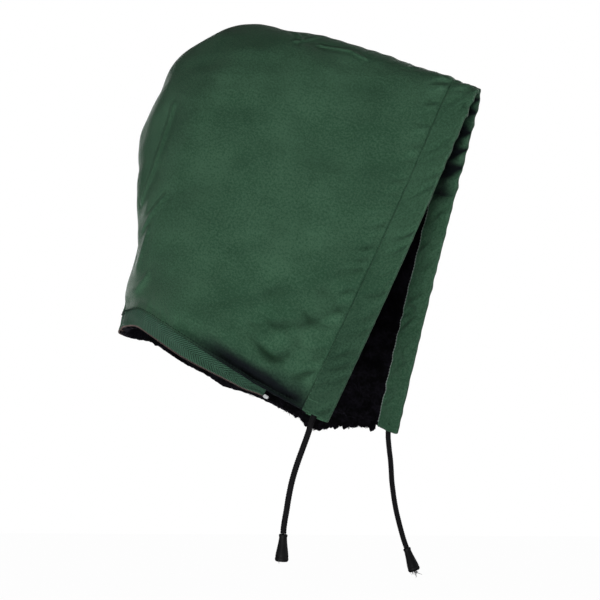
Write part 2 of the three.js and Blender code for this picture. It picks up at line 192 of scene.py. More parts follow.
def row_behind_front(side, along, distance):
    front = cloth_point(side, np.zeros_like(along), along)
    low = np.zeros_like(along)
    high = np.full_like(along, SEARCH_ROWS)
    for _ in range(HALVINGS):
        middle = (low + high) / 2
        near = np.linalg.norm(cloth_point(side, middle, along) - front, axis=-1) < distance
        low = np.where(near, middle, low)
        high = np.where(near, high, middle)
    return (low + high) / 2


def rise_from(low, share):
    """From a low value, where the share is 0, up to 1."""
    return low + (1 - low) * share


def run_lengths(points, axis=0):
    """Length run along one axis of a line or grid of points."""
    steps = np.linalg.norm(np.diff(points, axis=axis), axis=-1)
    pad = [(0, 0)] * steps.ndim
    pad[axis] = (1, 0)
    return np.cumsum(np.pad(steps, pad), axis=axis)


def points_at(at, run, points):
    """Points part way along a line, at given runs."""
    return np.stack([np.interp(at, run, points[:, k]) for k in range(3)], -1)


# Relief and noise
WAVE_SPREAD = (0.7, 1.4)
MANY_WAVES = 14
FEW_WAVES = 8
HASH = (127.1, 311.7, 74.7, 43758.5453)
DOME_JITTER = 0.8
DOME_REACH = 0.75
DOME_LEAST = 0.55


def waves(points, wavelength, seed, terms=MANY_WAVES):
    """Sine waves in scattered directions, about one unit high."""
    rng = np.random.default_rng(seed)
    total = 0
    for _ in range(terms):
        direction = unit(rng.normal(size=points.shape[-1]))
        scale = TURN / (wavelength * rng.uniform(*WAVE_SPREAD))
        total = total + np.sin(points @ direction * scale + rng.uniform(0, TURN))
    return total / math.sqrt(terms / 2)


def slanted(run, across, seed, height, length, slant, stretch):
    """Waves over a run and the distance across it, slanted and stretched across it."""
    places = np.stack([run + slant * across, stretch * across], -1)
    return height * waves(places, length, seed, FEW_WAVES)


def scatter(ix, iy, seed):
    value = np.sin(ix * HASH[0] + iy * HASH[1] + seed * HASH[2]) * HASH[3]
    return value - np.floor(value)


def domes(u, v, size, seed):
    x = u / size
    y = v / size
    ix = np.floor(x)
    iy = np.floor(y)
    nearest = np.full(x.shape, FAR)
    height = np.zeros(x.shape)
    for dx in (-1, 0, 1):
        for dy in (-1, 0, 1):
            cx = ix + dx
            cy = iy + dy
            px = cx + 0.5 + DOME_JITTER * (scatter(cx, cy, seed) - 0.5)
            py = cy + 0.5 + DOME_JITTER * (scatter(cx, cy, seed + 1) - 0.5)
            d = (x - px) ** 2 + (y - py) ** 2
            closer = d < nearest
            nearest = np.where(closer, d, nearest)
            height = np.where(closer, rise_from(DOME_LEAST, scatter(cx, cy, seed + 2)), height)
    return np.sqrt(np.clip(1 - nearest / DOME_REACH, 0, 1)) * height


def bump(x, spread):
    return np.exp(-(x / spread) ** 2)


def ease(x, low, high):
    t = np.clip((x - low) / (high - low), 0, 1)
    return t * t * (3 - 2 * t)


def fade(x, low, high):
    """1 up to the low value, down to 0 at the high one."""
    return ease(-x, -high, -low)


def ridge(x, height, middle, spread):
    return height * bump(x - middle, spread)


# Creases as routes of (row, along), with half width, height and depth of the hollow
# beside them in millimetres
CREASES_RIGHT = [
    # down the back
    ([(4.7, 0.53), (4.99, 0.442), (5.25, 0.392), (5.51, 0.36), (5.8, 0.34)], 2.4, 2.5, 1.7),
    ([(4.8, 0.28), (5.14, 0.252), (5.45, 0.242), (5.85, 0.245)], 2.3, 2.1, 1.5),
    ([(5.4, 0.215), (5.82, 0.176), (6.25, 0.15)], 3.2, 1.6, 1.0),
    ([(5.7, 0.1), (6.29, 0.07), (6.9, 0.1), (7.4, 0.15)], 3.4, 2.0, 1.2),
    # by the centre seam
    ([(2.86, 0.86), (2.7, 0.815)], 1.9, 1.7, 1.0),
    ([(2.78, 0.78), (2.67, 0.812), (2.56, 0.9)], 1.8, 1.9, 1.0),
    ([(2.46, 0.815), (2.27, 0.824), (2.07, 0.834), (1.9, 0.81)], 1.9, 2.1, 1.2),
    ([(1.5, 0.85), (1.42, 0.92)], 1.8, 1.5, 0.9),
]
CREASES_LEFT = [
    ([(4.5, 0.6), (4.9, 0.5), (5.3, 0.42), (5.7, 0.38)], 4.0, 2.0, 1.2),
    ([(5.0, 0.3), (5.5, 0.26), (6.0, 0.24)], 3.6, 1.8, 1.1),
    ([(6.1, 0.12), (6.6, 0.14), (7.2, 0.22)], 3.6, 1.8, 1.1),
    ([(2.95, 0.84), (2.7, 0.79)], 2.4, 1.2, 0.7),
    ([(2.4, 0.86), (2.1, 0.82), (1.85, 0.84)], 2.4, 1.4, 0.8),
]
CREASES = {"right": CREASES_RIGHT, "left": CREASES_LEFT}


def route_distance(points, side, route):
    pairs = np.array(route, float)
    spots = cloth_point(side, pairs[:, 0], pairs[:, 1])
    nearest = np.full(points.shape[:-1], FAR)
    for start, end in zip(spots[:-1], spots[1:]):
        line = end - start
        share = np.clip(((points - start) @ line) / (line @ line), 0, 1)
        d = np.linalg.norm(points - start - share[..., None] * line, axis=-1)
        nearest = np.minimum(nearest, d)
    return nearest


# height, length and seed step of the cloth's soft waves, and the distances from the
# centre seam and from the neck edge over which they grow
SOFT_WAVES = [
    (1.5, 75, 0, 40, 25),
    (0.35, 30, 6, 12, 12),
]
# half widths of a crease and of the hollow beside it, as shares of the stated one
CREASE_SPREAD = 1.25
HOLLOW_SPREAD = 3
# height, length and seed step of the dimples low at the front, and the distances from the
# neck edge between which they grow
DIMPLES = [
    (2.2, 27, 1, 0, 16),
    (0.45, 14, 4, 2, 14),
]
DIMPLE_ALONG = (0.04, 0.25)
DIMPLE_ROWS = (1.6, 3.6)
# height, length, stretch and reach of the puckers beside a seam
CENTRE_PUCKERS = (0.55, 13, 0.35, 9)
NECK_PUCKERS = (0.45, 12, 0.3, 9)
# height, length, slant and stretch of those behind the casing's stitches
CASING_PUCKERS = (0.8, 15, 0.5, 0.4)
# height, distance from the seam or edge, half width
CENTRE_SINK = (0.9, 0, 1.8)
CASING_SINK = (0.7, CASING_WIDTH, 1.9)
CASING_BAND = (1, CASING_WIDTH + 8, 7)
NECK_ROLL = (5.0, 25, 12)
NECK_FOLD = (6.5, 9, 6)
# height, length, slant and stretch of the roll's lumps
LUMPS = (0.13, 34, 0, 0.3)
# distances from the front edge between which the casing's stitches let go of the cloth
CASING_HOLD = (CASING_WIDTH - 2, CASING_WIDTH + 17)
# rows between which the deep fold grows and fades, and what is left of it elsewhere
FOLD_GROWS = (0.5, 1.35)
FOLD_FADES = (2.8, 4.5)
LEAST_PULL = 0.22
# darkness along the seams, distance from the seam or edge, half width; along the neck seam it is a painted
# shadow line under the panel's edge
NECK_SHADOW_LINE = (0.7, 0, 0.9)
CASING_TONE = (0.12, CASING_WIDTH, 1.0)
CENTRE_TONE = (0.35, 0, 0.8)
# the painted shade in the deep fold: its darkness, how far up from the edge it is full, and how softly it
# ends
FOLD_SHADE = 0.97
FOLD_FULL = 10.5
FOLD_SOFT = 7
FOLD_START = (-1.5, 2.5)
FOLD_POWER = 0.8
# height, length, slant and stretch of its ragged upper end
RAGGED_END = (1.5, 40, 0, 1.4)
# the painted shade by the front corner, its rows and its distances from the neck edge
CORNER_SHADE = 0.3
CORNER_ROWS = (0.3, 1.2)
CORNER_RISE = (20, 130)


def fold_share(row):
    """How much of the deep fold there is at a row, from the casing to past the ear."""
    return ease(row, *FOLD_GROWS) * fade(row, *FOLD_FADES)


def puckers(run, gap, seed, height, length, stretch, reach):
    """What a seam pulls into the cloth beside it."""
    return slanted(run, gap, seed, height, length, 0, stretch) * np.exp(-gap / reach)


def relief(cloth, side):
    """How far the cloth stands out from its plain form, in millimetres."""
    seed = SEEDS[side]["relief"]
    seam_gap = cloth.seam_gap
    neck_gap = cloth.neck_gap
    front_gap = cloth.front_gap
    out = 0
    for height, length, step, seam_fade, neck_fade in SOFT_WAVES:
        swell = height * waves(cloth.base, length, seed + step) * ease(seam_gap, 0, seam_fade)
        out = out + swell * ease(neck_gap, 0, neck_fade)
    for route, half_width, height, hollow in CREASES[side]:
        d = route_distance(cloth.base, side, route)
        out = out + height * bump(d, half_width * CREASE_SPREAD)
        out = out - hollow * bump(d, half_width * HOLLOW_SPREAD)
    # soft dimples low at the front
    low_front = fade(cloth.along, *DIMPLE_ALONG) * fade(cloth.row, *DIMPLE_ROWS)
    for height, length, step, start, full in DIMPLES:
        dimple = height * waves(cloth.base, length, seed + step) * low_front
        out = out + dimple * ease(neck_gap, start, full)
    out = out + puckers(cloth.seam_run, seam_gap, seed + 2, *CENTRE_PUCKERS)
    out = out - ridge(seam_gap, *CENTRE_SINK)
    # the neck seam draws the cloth in to a deep fold under a soft roll
    out = out + puckers(cloth.neck_run, neck_gap, seed + 3, *NECK_PUCKERS)
    lumps = 1 + slanted(cloth.neck_run, neck_gap, seed + 5, *LUMPS)
    pull = rise_from(LEAST_PULL, fold_share(cloth.row))
    out = out + pull * lumps * (ridge(neck_gap, *NECK_ROLL) - ridge(neck_gap, *NECK_FOLD))
    # the casing's stitch line holds the cloth flat and puckers it just behind
    out = out * ease(front_gap, *CASING_HOLD)
    drawn = slanted(cloth.v, front_gap, CASING_PUCKER_SEED, *CASING_PUCKERS)
    return out + drawn * ridge(front_gap, *CASING_BAND) - ridge(front_gap, *CASING_SINK)


def painted_cloth_shade(cloth, side):
    """Painted shade in the deep fold, along the neck seam and by the front corner, and darker casing and
    centre seams, from 0 to 1.
    """
    ragged = slanted(cloth.neck_run, cloth.neck_gap, SEEDS[side]["tone"], *RAGGED_END)
    pull = fold_share(cloth.row) ** FOLD_POWER
    reach = cloth.neck_gap - ragged * pull - FOLD_FULL * pull
    fold = pull * np.where(reach < 0, ease(cloth.neck_gap, *FOLD_START), bump(reach, FOLD_SOFT))
    seams = ridge(cloth.neck_gap, *NECK_SHADOW_LINE) + ridge(cloth.front_gap, *CASING_TONE)
    seams = seams + ridge(cloth.seam_gap, *CENTRE_TONE)
    corner = CORNER_SHADE * fade(cloth.row, *CORNER_ROWS) * fade(cloth.neck_gap, *CORNER_RISE)
    return np.clip(FOLD_SHADE * fold + seams + corner, 0, 1)


# Meshes
def grid_quads(n, m, first=0):
    i, j = np.meshgrid(np.arange(n - 1), np.arange(m - 1), indexing="ij")
    a = first + i * m + j
    return np.stack([a, a + m, a + m + 1, a + 1], -1).reshape(-1, 4)


def perimeter(n, m, first=0):
    index = first + np.arange(n * m).reshape(n, m)
    return np.concatenate([index[:-1, 0], index[-1, :-1], index[:0:-1, -1], index[0, :0:-1]])


def every_third(grid):
    return grid[::3, ::3]


def closed_sheet(fine, back):
    """A fine face and a back at every third point, joined round their edges."""
    coarse = every_third(back)
    n, m = fine.shape[:2]
    p, q = coarse.shape[:2]
    first = n * m
    f = perimeter(n, m)
    c = perimeter(p, q, first)
    f0, f1, f2 = f[0::3], f[1::3], f[2::3]
    f3 = np.roll(f0, -1)
    c0, c1 = c, np.roll(c, -1)
    edges = np.concatenate([
        np.stack([f1, f0, c0], -1), np.stack([f1, c0, c1], -1),
        np.stack([f2, f1, c1], -1), np.stack([f3, f2, c1], -1),
    ])
    points = np.concatenate([fine.reshape(-1, 3), coarse.reshape(-1, 3)])
    return points, [grid_quads(n, m), grid_quads(p, q, first)[:, ::-1], edges]


def tube(rings, caps=True):
    """Quads between rings of points, with a fan over each end."""
    n, m = rings.shape[:2]
    i, j = np.meshgrid(np.arange(n - 1), np.arange(m), indexing="ij")
    k = (j + 1) % m
    quads = np.stack([i * m + j, i * m + k, (i + 1) * m + k, (i + 1) * m + j], -1).reshape(-1, 4)
    points = rings.reshape(-1, 3)
    faces = [quads]
    if caps:
        middle = len(points)
        points = np.concatenate([points, rings[:1].mean(1), rings[-1:].mean(1)])
        around = np.arange(m)
        onward = (around + 1) % m
        last = (n - 1) * m
        faces.append(np.stack([onward, around, np.full(m, middle)], -1))
        faces.append(np.stack([last + around, last + onward, np.full(m, middle + 1)], -1))
    return points, faces


def rings_round(line, radius, across, up, sides):
    """Rings of points round a line, a radius away in two directions across it."""
    angle = np.linspace(0, TURN, sides, endpoint=False)[None, :, None]
    spread = np.cos(angle) * np.atleast_2d(across)[:, None] + np.sin(angle) * np.atleast_2d(up)[:, None]
    return line[:, None] + radius[..., None] * spread


def grid_uv(first, second, caps=2):
    """Two runs at each point of a grid, and nothing at the middles of its end caps."""
    uv = np.stack(np.meshgrid(first, second, indexing="ij"), -1).reshape(-1, 2)
    return np.concatenate([uv, np.zeros((caps, 2))])


def reach_of_box(c, s):
    """How far a box with rounded corners reaches in a direction."""
    return (np.abs(c) ** 4 + np.abs(s) ** 4) ** -0.25


def signed_volume(points, faces):
    total = 0
    for block in faces:
        for k in range(1, block.shape[1] - 1):
            a, b, c = points[block[:, 0]], points[block[:, k]], points[block[:, k + 1]]
            total += float(np.einsum("ij,ij->", a, np.cross(b, c)))
    return total


def piece(name, points, faces, material, replaced=(), uv=None, side="right", tone=None):
    points = np.asarray(points, float).copy()
    if side == "left":
        points[:, 1] *= -1
    if signed_volume(points, faces) < 0:
        faces = [block[:, ::-1] for block in faces]
    mesh = bpy.data.meshes.new(name)
    corners = np.concatenate([block.reshape(-1) for block in faces]).astype(np.int32)
    sizes = np.concatenate([np.full(len(block), block.shape[1]) for block in faces]).astype(np.int32)
    starts = np.concatenate([[0], np.cumsum(sizes)[:-1]]).astype(np.int32)
    mesh.vertices.add(len(points))
    mesh.vertices.foreach_set("co", (points * MM).astype(np.float32).reshape(-1))
    mesh.loops.add(len(corners))
    mesh.loops.foreach_set("vertex_index", corners)
    mesh.polygons.add(len(sizes))
    mesh.polygons.foreach_set("loop_start", starts)
    mesh.polygons.foreach_set("loop_total", sizes)
    mesh.polygons.foreach_set("use_smooth", np.full(len(sizes), True))
    mesh.update(calc_edges=True)
    mesh.validate()
    if uv is not None:
        layer = mesh.uv_layers.new(name="cloth")
        layer.data.foreach_set("uv", uv[corners].astype(np.float32).reshape(-1))
    # the painted shade, kept as a point attribute that the cloth's material reads
    if tone is not None:
        painted_shade = mesh.attributes.new("painted_shade", "FLOAT", "POINT")
        painted_shade.data.foreach_set("value", np.asarray(tone, np.float32).reshape(-1))
    mesh.materials.append(material)
    obj = bpy.data.objects.new(name, mesh)
    bpy.context.scene.collection.objects.link(obj)
    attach(obj, "root")
    if replaced:
        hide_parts(*replaced)
    return obj


def join_parts(parts):
    points = []
    faces = {3: [], 4: []}
    first = 0
    for part_points, part_faces in parts:
        points.append(part_points)
        for block in part_faces:
            faces[block.shape[1]].append(block + first)
        first += len(part_points)
    return np.concatenate(points), [np.concatenate(blocks) for blocks in faces.values() if blocks]


# Materials
RIB_PITCH = 2.8
CROSS_PITCH = 0.7
WARP_PITCH = 0.62
WEFT_PITCH = 0.55
THREAD_SHARP = 0.7
# a wave node's turns at scale 1, in its vector's unit
WAVE_NODE_UNIT = 20
BROAD_SHARE = 0.18
GRAIN_BUMP = 3.4
GRAIN_ROUGHNESS = 0.16
CREASE_ROUGHNESS = 0.6
RIB_SHADE = 0.2
# painted shadow: near black colour and dim satin tint that the painted shade mixes in
PAINTED_SHADOW_COLOR = (0.0050, 0.0052, 0.0080, 1)
PAINTED_SHADOW_TINT = (0.05, 0.055, 0.07, 1)
SATIN_TINT = (0.42, 1, 0.58, 1)
# a colour mix node's sockets
MIX_FIRST = 6
MIX_SECOND = 7
MIX_RESULT = 2


def supply(mat, socket, value):
    """A constant on the socket, or a link from another node."""
    if isinstance(value, (int, float, tuple)):
        socket.default_value = value
    else:
        mat.node_tree.links.new(value, socket)


def feed(mat, **sockets):
    """Constants or links on the shader's own sockets."""
    for socket, value in sockets.items():
        supply(mat, mat.node_tree.nodes["Principled BSDF"].inputs[socket.replace("_", " ")], value)


def shader(name, color, roughness, **sockets):
    mat = bpy.data.materials.new(name)
    mat.use_nodes = True
    feed(mat, Base_Color=(*color, 1), Roughness=roughness, **sockets)
    return mat


def add_node(mat, kind, **settings):
    """A node with its settings, and constants or links on its sockets."""
    node = mat.node_tree.nodes.new(kind)
    for key, value in settings.items():
        if hasattr(node, key):
            setattr(node, key, value)
        else:
            supply(mat, node.inputs[key.replace("_", " ")], value)
    return node


def cloth_uv(mat):
    return add_node(mat, "ShaderNodeUVMap", uv_map="cloth").outputs["UV"]


def object_spot(mat):
    return add_node(mat, "ShaderNodeTexCoord").outputs["Object"]


def math_node(mat, operation, a, b=0):
    node = add_node(mat, "ShaderNodeMath", operation=operation)
    supply(mat, node.inputs[0], a)
    supply(mat, node.inputs[1], b)
    return node.outputs[0]


def plus(mat, a, b):
    return math_node(mat, "ADD", a, b)


def times(mat, a, b):
    return math_node(mat, "MULTIPLY", a, b)


def two_tone(mat, factor, low, high, dark, light):
    """Dark up to a low value of the factor, light from a high one on."""
    ramp = add_node(mat, "ShaderNodeValToRGB", Fac=factor)
    for stop, position, color in zip(ramp.color_ramp.elements, (low, high), (dark, light)):
        stop.position = position
        stop.color = (*color, 1)
    return ramp.outputs["Color"]


def ranged(mat, value, low, high):
    return add_node(mat, "ShaderNodeMapRange", Value=value, To_Min=low, To_Max=high).outputs["Result"]


def noise(mat, vector, scale, detail, roughness=0.5):
    node = add_node(mat, "ShaderNodeTexNoise", Vector=vector, Scale=scale, Detail=detail,
                    Roughness=roughness)
    return node.outputs["Fac"]


def threads(mat, vector, direction, pitch, sharp=1.0):
    """Rows of thread, one each pitch of the vector's unit."""
    rows = add_node(mat, "ShaderNodeTexWave", Vector=vector, wave_type="BANDS", wave_profile="SIN",
                    bands_direction=direction, Scale=TURN / (WAVE_NODE_UNIT * pitch), Distortion=0)
    return math_node(mat, "POWER", rows.outputs["Fac"], sharp)


def bumped(mat, height, distance, strength):
    node = add_node(mat, "ShaderNodeBump", Height=height, Distance=distance, Strength=strength)
    feed(mat, Normal=node.outputs["Normal"])


def blend(mat, factor, first, second):
    node = add_node(mat, "ShaderNodeMix", data_type="RGBA", Factor=factor)
    supply(mat, node.inputs[MIX_FIRST], first)
    supply(mat, node.inputs[MIX_SECOND], second)
    return node.outputs[MIX_RESULT]


def shell_material(name, dark, light, roughness=0.46):
    mat = shader(name, light, roughness, Sheen_Weight=0.04, Sheen_Roughness=0.4,
                 Sheen_Tint=(0.62, 0.86, 0.72, 1), Specular_IOR_Level=1.0, Specular_Tint=SATIN_TINT)
    uv = cloth_uv(mat)
    broad = noise(mat, object_spot(mat), scale=26, detail=3, roughness=0.6)
    grain = noise(mat, uv, scale=0.5, detail=4, roughness=0.85)
    tone = plus(mat, times(mat, broad, BROAD_SHARE), times(mat, grain, 1 - BROAD_SHARE))
    cloth_color = two_tone(mat, tone, 0.45, 0.55, dark, light)
    # painted shade from the point attribute: the colour goes to near black, the satin tint dims and the cloth
    # is rougher
    painted_shade = add_node(mat, "ShaderNodeAttribute", attribute_name="painted_shade").outputs["Fac"]
    warp = threads(mat, uv, "X", WARP_PITCH, THREAD_SHARP)
    weft = threads(mat, uv, "Y", WEFT_PITCH, THREAD_SHARP)
    height = plus(mat, times(mat, warp, weft), times(mat, grain, GRAIN_BUMP))
    bumped(mat, height, distance=0.0003, strength=0.8)
    rough = ranged(mat, grain, roughness - GRAIN_ROUGHNESS, roughness + GRAIN_ROUGHNESS)
    feed(mat, Base_Color=blend(mat, painted_shade, cloth_color, PAINTED_SHADOW_COLOR),
         Specular_Tint=blend(mat, painted_shade, SATIN_TINT, PAINTED_SHADOW_TINT),
         Roughness=plus(mat, rough, times(mat, painted_shade, CREASE_ROUGHNESS)))
    return mat


def pile_material():
    mat = shader("pile", (0.002, 0.002, 0.003), 0.9, Sheen_Weight=0.03, Sheen_Roughness=0.35,
                 Sheen_Tint=(0.55, 0.48, 0.72, 1), Specular_IOR_Level=0.05)
    spot = object_spot(mat)
    curls = noise(mat, spot, scale=420, detail=4, roughness=0.65)
    clumps = noise(mat, spot, scale=90, detail=3)
    feed(mat, Base_Color=two_tone(mat, times(mat, curls, clumps), 0.2, 0.36, dark=(0.0003, 0.0003, 0.0005),
                                  light=(0.0042, 0.0036, 0.0058)))
    bumped(mat, curls, distance=0.0012, strength=0.8)
    return mat


def tape_material():
    mat = shader("tape", (0.034, 0.08, 0.05), 0.72, Sheen_Weight=0.08, Sheen_Tint=(0.6, 0.85, 0.72, 1),
                 Specular_IOR_Level=0.3)
    uv = cloth_uv(mat)
    grain = noise(mat, uv, scale=1.1, detail=2, roughness=0.6)
    # slanted ribs that turn at the middle of the tape, crossed by fine thread
    split = add_node(mat, "ShaderNodeSeparateXYZ", Vector=uv)
    off_middle = math_node(mat, "SUBTRACT", split.outputs["Y"], TAPE_WIDTH / 2)
    slant = plus(mat, split.outputs["X"], math_node(mat, "ABSOLUTE", off_middle))
    ribs = math_node(mat, "SINE", times(mat, slant, TURN / RIB_PITCH))
    shade = plus(mat, times(mat, ribs, RIB_SHADE), grain)
    feed(mat, Base_Color=two_tone(mat, shade, 0.3, 0.68, dark=(0.010, 0.042, 0.024),
                                  light=(0.052, 0.150, 0.090)))
    bumped(mat, plus(mat, ribs, threads(mat, uv, "Y", CROSS_PITCH)), distance=0.0005, strength=0.9)
    return mat


def cord_material():
    mat = shader("cord", (0.008, 0.008, 0.009), 0.75, Sheen_Weight=0.02, Sheen_Tint=(0.6, 0.58, 0.66, 1),
                 Specular_IOR_Level=0.1)
    fibre = noise(mat, cloth_uv(mat), scale=2.2, detail=3, roughness=0.6)
    feed(mat, Base_Color=two_tone(mat, fibre, 0.3, 0.75, dark=(0.002, 0.002, 0.0022),
                                  light=(0.009, 0.0085, 0.010)))
    bumped(mat, fibre, distance=0.0004, strength=0.6)
    return mat


def plastic_material(name, dark, light, roughness):
    mat = shader(name, light, roughness, Specular_IOR_Level=0.15)
    mottle = noise(mat, object_spot(mat), scale=600, detail=3)
    feed(mat, Base_Color=two_tone(mat, mottle, 0.35, 0.7, dark, light),
         Roughness=ranged(mat, mottle, roughness - 0.08, roughness + 0.14))
    bumped(mat, mottle, distance=0.0001, strength=0.3)
    return mat


SHELL = shell_material("shell", dark=(0.010, 0.033, 0.018), light=(0.046, 0.101, 0.061))
PILE = pile_material()
TAPE = tape_material()
CORD = cord_material()
THREAD = shell_material("thread", dark=(0.02, 0.052, 0.03), light=(0.046, 0.1, 0.062))
EDGE_THREAD = shell_material("edge_thread", dark=(0.16, 0.18, 0.18), light=(0.26, 0.28, 0.28), roughness=0.5)
BELL = plastic_material("cord_end", dark=(0.002, 0.002, 0.0023), light=(0.005, 0.005, 0.0055), roughness=0.6)
COIL = plastic_material("coil", dark=(0.09, 0.065, 0.06), light=(0.17, 0.125, 0.115), roughness=0.45)
STOP = plastic_material("stop", dark=(0.42, 0.43, 0.44), light=(0.60, 0.61, 0.62), roughness=0.35)


# Grids of the cloth behind the casing
SHELL_GRID = 241
LINING_GRID = 253
# columns lie closer together by the neck edge
ALONG_START = 0.55
ALONG_MORE = 0.45
NAPE_CORNER = 8
# the two halves meet just off the middle plane
CENTRE_SIDE = -0.01
SHELL_OVERLAP = 0.6
# how deep the shell is tucked in under the casing, and where
TUCK = 1.4
TUCK_RUN = (CASING_WIDTH - 0.4, CASING_WIDTH + 1.2)


class Cloth:
    """One half's cloth at a grid of rows by along, with its relief."""

    def __init__(self, start_distance, count, side):
        share = np.linspace(0, 1, count)
        along = share * (ALONG_START + ALONG_MORE * share)
        start = row_behind_front(side, along, start_distance)
        self.row = start[None, :] + (LAST_ROW - start[None, :]) * share[:, None]
        self.along = np.broadcast_to(along, self.row.shape).copy()
        self.base = cloth_point(side, self.row, self.along)
        self.normal = cloth_normal(side, self.row, self.along)
        self.u = run_lengths(self.base, 0)
        self.v = run_lengths(self.base, 1)
        self.seam_gap = self.v[:, -1:] - self.v
        self.seam_run = np.broadcast_to(self.u[:, -1:], self.u.shape)
        back_gap = self.u[-1:, :] - self.u
        near = np.exp(-self.v / NAPE_CORNER) + np.exp(-back_gap / NAPE_CORNER)
        self.neck_gap = np.maximum(-NAPE_CORNER * np.log(near), 0)
        self.neck_run = self.u[:, :1] + self.v * (back_gap < self.v)
        front = cloth_point(side, np.zeros_like(self.row), self.along)
        self.front_gap = np.linalg.norm(self.base - front, axis=-1)
        self.relief = relief(self, side)

    def at_depth(self, depth, across=CENTRE_SIDE):
        """The cloth moved in by a depth, and held to its own side of the centre seam."""
        moved = self.base + self.normal * (self.relief - depth)[..., None]
        moved[..., 1] = np.minimum(moved[..., 1], across)
        moved[:, -1, 1] = across
        return moved

    def uv(self):
        fine = np.stack([self.u, self.v], -1)
        return np.concatenate([fine.reshape(-1, 2), every_third(fine).reshape(-1, 2)])


def make_shell(side):
    cloth = Cloth(CASING_WIDTH - SHELL_OVERLAP, SHELL_GRID, side)
    tuck = TUCK * fade(cloth.front_gap, *TUCK_RUN)
    points, faces = closed_sheet(cloth.at_depth(tuck), cloth.at_depth(tuck + PANEL_THICK))
    # painted shade over the shell, from its fold, seams and front corner
    tone = painted_cloth_shade(cloth, side)
    tone = np.concatenate([tone.reshape(-1), every_third(tone).reshape(-1)])
    shell = piece(f"shell_{side}", points, faces, SHELL, [f"panel_{side}"], cloth.uv(), side, tone)
    return shell, cloth


shells = {}
cloths = {}
for half in SIDES:
    shells[half], cloths[half] = make_shell(half)

FACING_WIDTH = 22.2
# height, size and seed step of the pile's tufts, and height and length of its swells
TUFTS = [(3.0, 7.5, 0), (1.3, 3.1, 9)]
SWELL = (0.5, 22)
# the pile between its skin and its tufts, and what is left of both by the facing
PILE_BODY = PILE_THICK - 1.6
BODY_LEAST = 0.35
TUFTS_LEAST = 0.5
PILE_FULL = (CASING_WIDTH - 1, CASING_WIDTH + 7)
# how far the pile may pass the middle plane
PILE_ACROSS = 0.5


def make_lining(side):
    cloth = Cloth(FACING_WIDTH, LINING_GRID, side)
    seed = SEEDS[side]["pile"]
    edge = ease(cloth.front_gap, *PILE_FULL)
    tufts = sum(height * domes(cloth.u, cloth.v, size, seed + step) for height, size, step in TUFTS)
    tufts = tufts + SWELL[0] * waves(cloth.base, SWELL[1], seed)
    depth = LINING_DEPTH + PILE_BODY * rise_from(BODY_LEAST, edge) + tufts * rise_from(TUFTS_LEAST, edge)
    back = cloth.at_depth(np.full(depth.shape, LINING_DEPTH), PILE_ACROSS)
    points, faces = closed_sheet(cloth.at_depth(depth, PILE_ACROSS), back)
    return piece(f"pile_{side}", points, faces, PILE, [f"lining_{side}"], cloth.uv(), side)


linings = {half: make_lining(half) for half in SIDES}

# The neck edge as a line of stations
NECK_SMOOTHINGS = 12


def edge_of(grid):
    """A grid's values along the neck edge, from the casing to the centre of the nape."""
    return np.concatenate([grid[:, 0], grid[-1, 1:]])


class NeckEdge:
    """One half's neck edge, from the casing to the centre of the nape."""

    def __init__(self, cloth):
        self.points = edge_of(cloth.base)
        self.lift = edge_of(cloth.relief)
        self.run = run_lengths(self.points)
        self.normals = edge_of(cloth.normal)
        onward = unit(np.gradient(self.points, axis=0))
        for _ in range(NECK_SMOOTHINGS):
            for values in (self.normals, onward):
                values[1:-1] = unit(values[:-2] + 2 * values[1:-1] + values[2:])
        onward[-1] = (0, 1, 0)
        self.normals[-1] = unit(self.normals[-1] * [1, 0, 1])
        down = unit(np.cross(onward, self.normals))
        self.down = np.where(down[:, 2:] > 0, -down, down)

    def at(self, run):
        """Point, normal, down and lift at runs along the edge."""
        return (points_at(run, self.run, self.points), unit(points_at(run, self.run, self.normals)),
                unit(points_at(run, self.run, self.down)), np.interp(run, self.run, self.lift))


necks = {half: NeckEdge(cloths[half]) for half in SIDES}


def neck_line(count):
    """Point, normal, down, lift and run round the neck, between the zip's ends, right to left."""
    right = necks["right"]
    left = necks["left"]
    right_run = np.linspace(ZIP_SETBACK, right.run[-1], count)
    left_run = np.linspace(left.run[-1], ZIP_SETBACK, count)[1:]
    p, n, d, lift = left.at(left_run)
    line = zip(right.at(right_run), (p * MIRROR, n * MIRROR, d * MIRROR, lift))
    run = np.concatenate([right_run, right.run[-1] + left.run[-1] - left_run])
    return [np.concatenate(pair) for pair in line] + [run]


# How far below the neck edge the cloth's relief still moves what hangs there
LIFT_RUN = 9


def neck_band(line, drop, depth):
    """Rings of points at their drops below the neck edge and depths in from the cloth."""
    p, n, d, lift = line
    depth = depth - lift[:, None] * fade(drop, 0, LIFT_RUN)
    return p[:, None] + d[:, None] * drop[..., None] - n[:, None] * depth[..., None]


# How far from the casing the pile's edge is ragged, and how much more the left one sags
RAGGED_RUN = {"right": 48, "left": 92}
RAGGED_FADE = 25
RAGGED_LEAST = 0.15
SAG = {"right": 0, "left": 8.5}
SAG_GROWS = (8, 34)
SAG_FADES = (64, 82)
# height, length and seed step of the ragged edge, and height, size and seed step of its tufts
RAGGED_WAVES = [(0.9, 11, 0), (0.5, 4.3, 1)]
EDGE_TUFTS = [(1.5, 5.5, 0), (0.8, 2.4, 4)]
EDGE_TUFT_SINK = 0.8
EDGE_TUFT_SPREAD = 0.8
EDGE_STATIONS = 430
EDGE_SIDES = 20
EDGE_ROUND = 5
EDGE_TOP = -2.5
EDGE_DEPTH = LINING_DEPTH + PILE_THICK / 2 + 0.4
# how far the pile's edge keeps off the cloth below the seam, and how much more above it
EDGE_CLEAR = 0.5
EDGE_CLEAR_ABOVE = 2.5
EDGE_ACROSS = 0.6


def pile_hang(side, run):
    """How far one half's pile hangs below the neck edge."""
    more = (LINING_HANG - LINING_HANG_FRONT) * np.clip((run - ZIP_SETBACK) / HANG_RUN, 0, 1)
    return LINING_HANG_FRONT + more + SAG[side] * ease(run, *SAG_GROWS) * fade(run, *SAG_FADES)


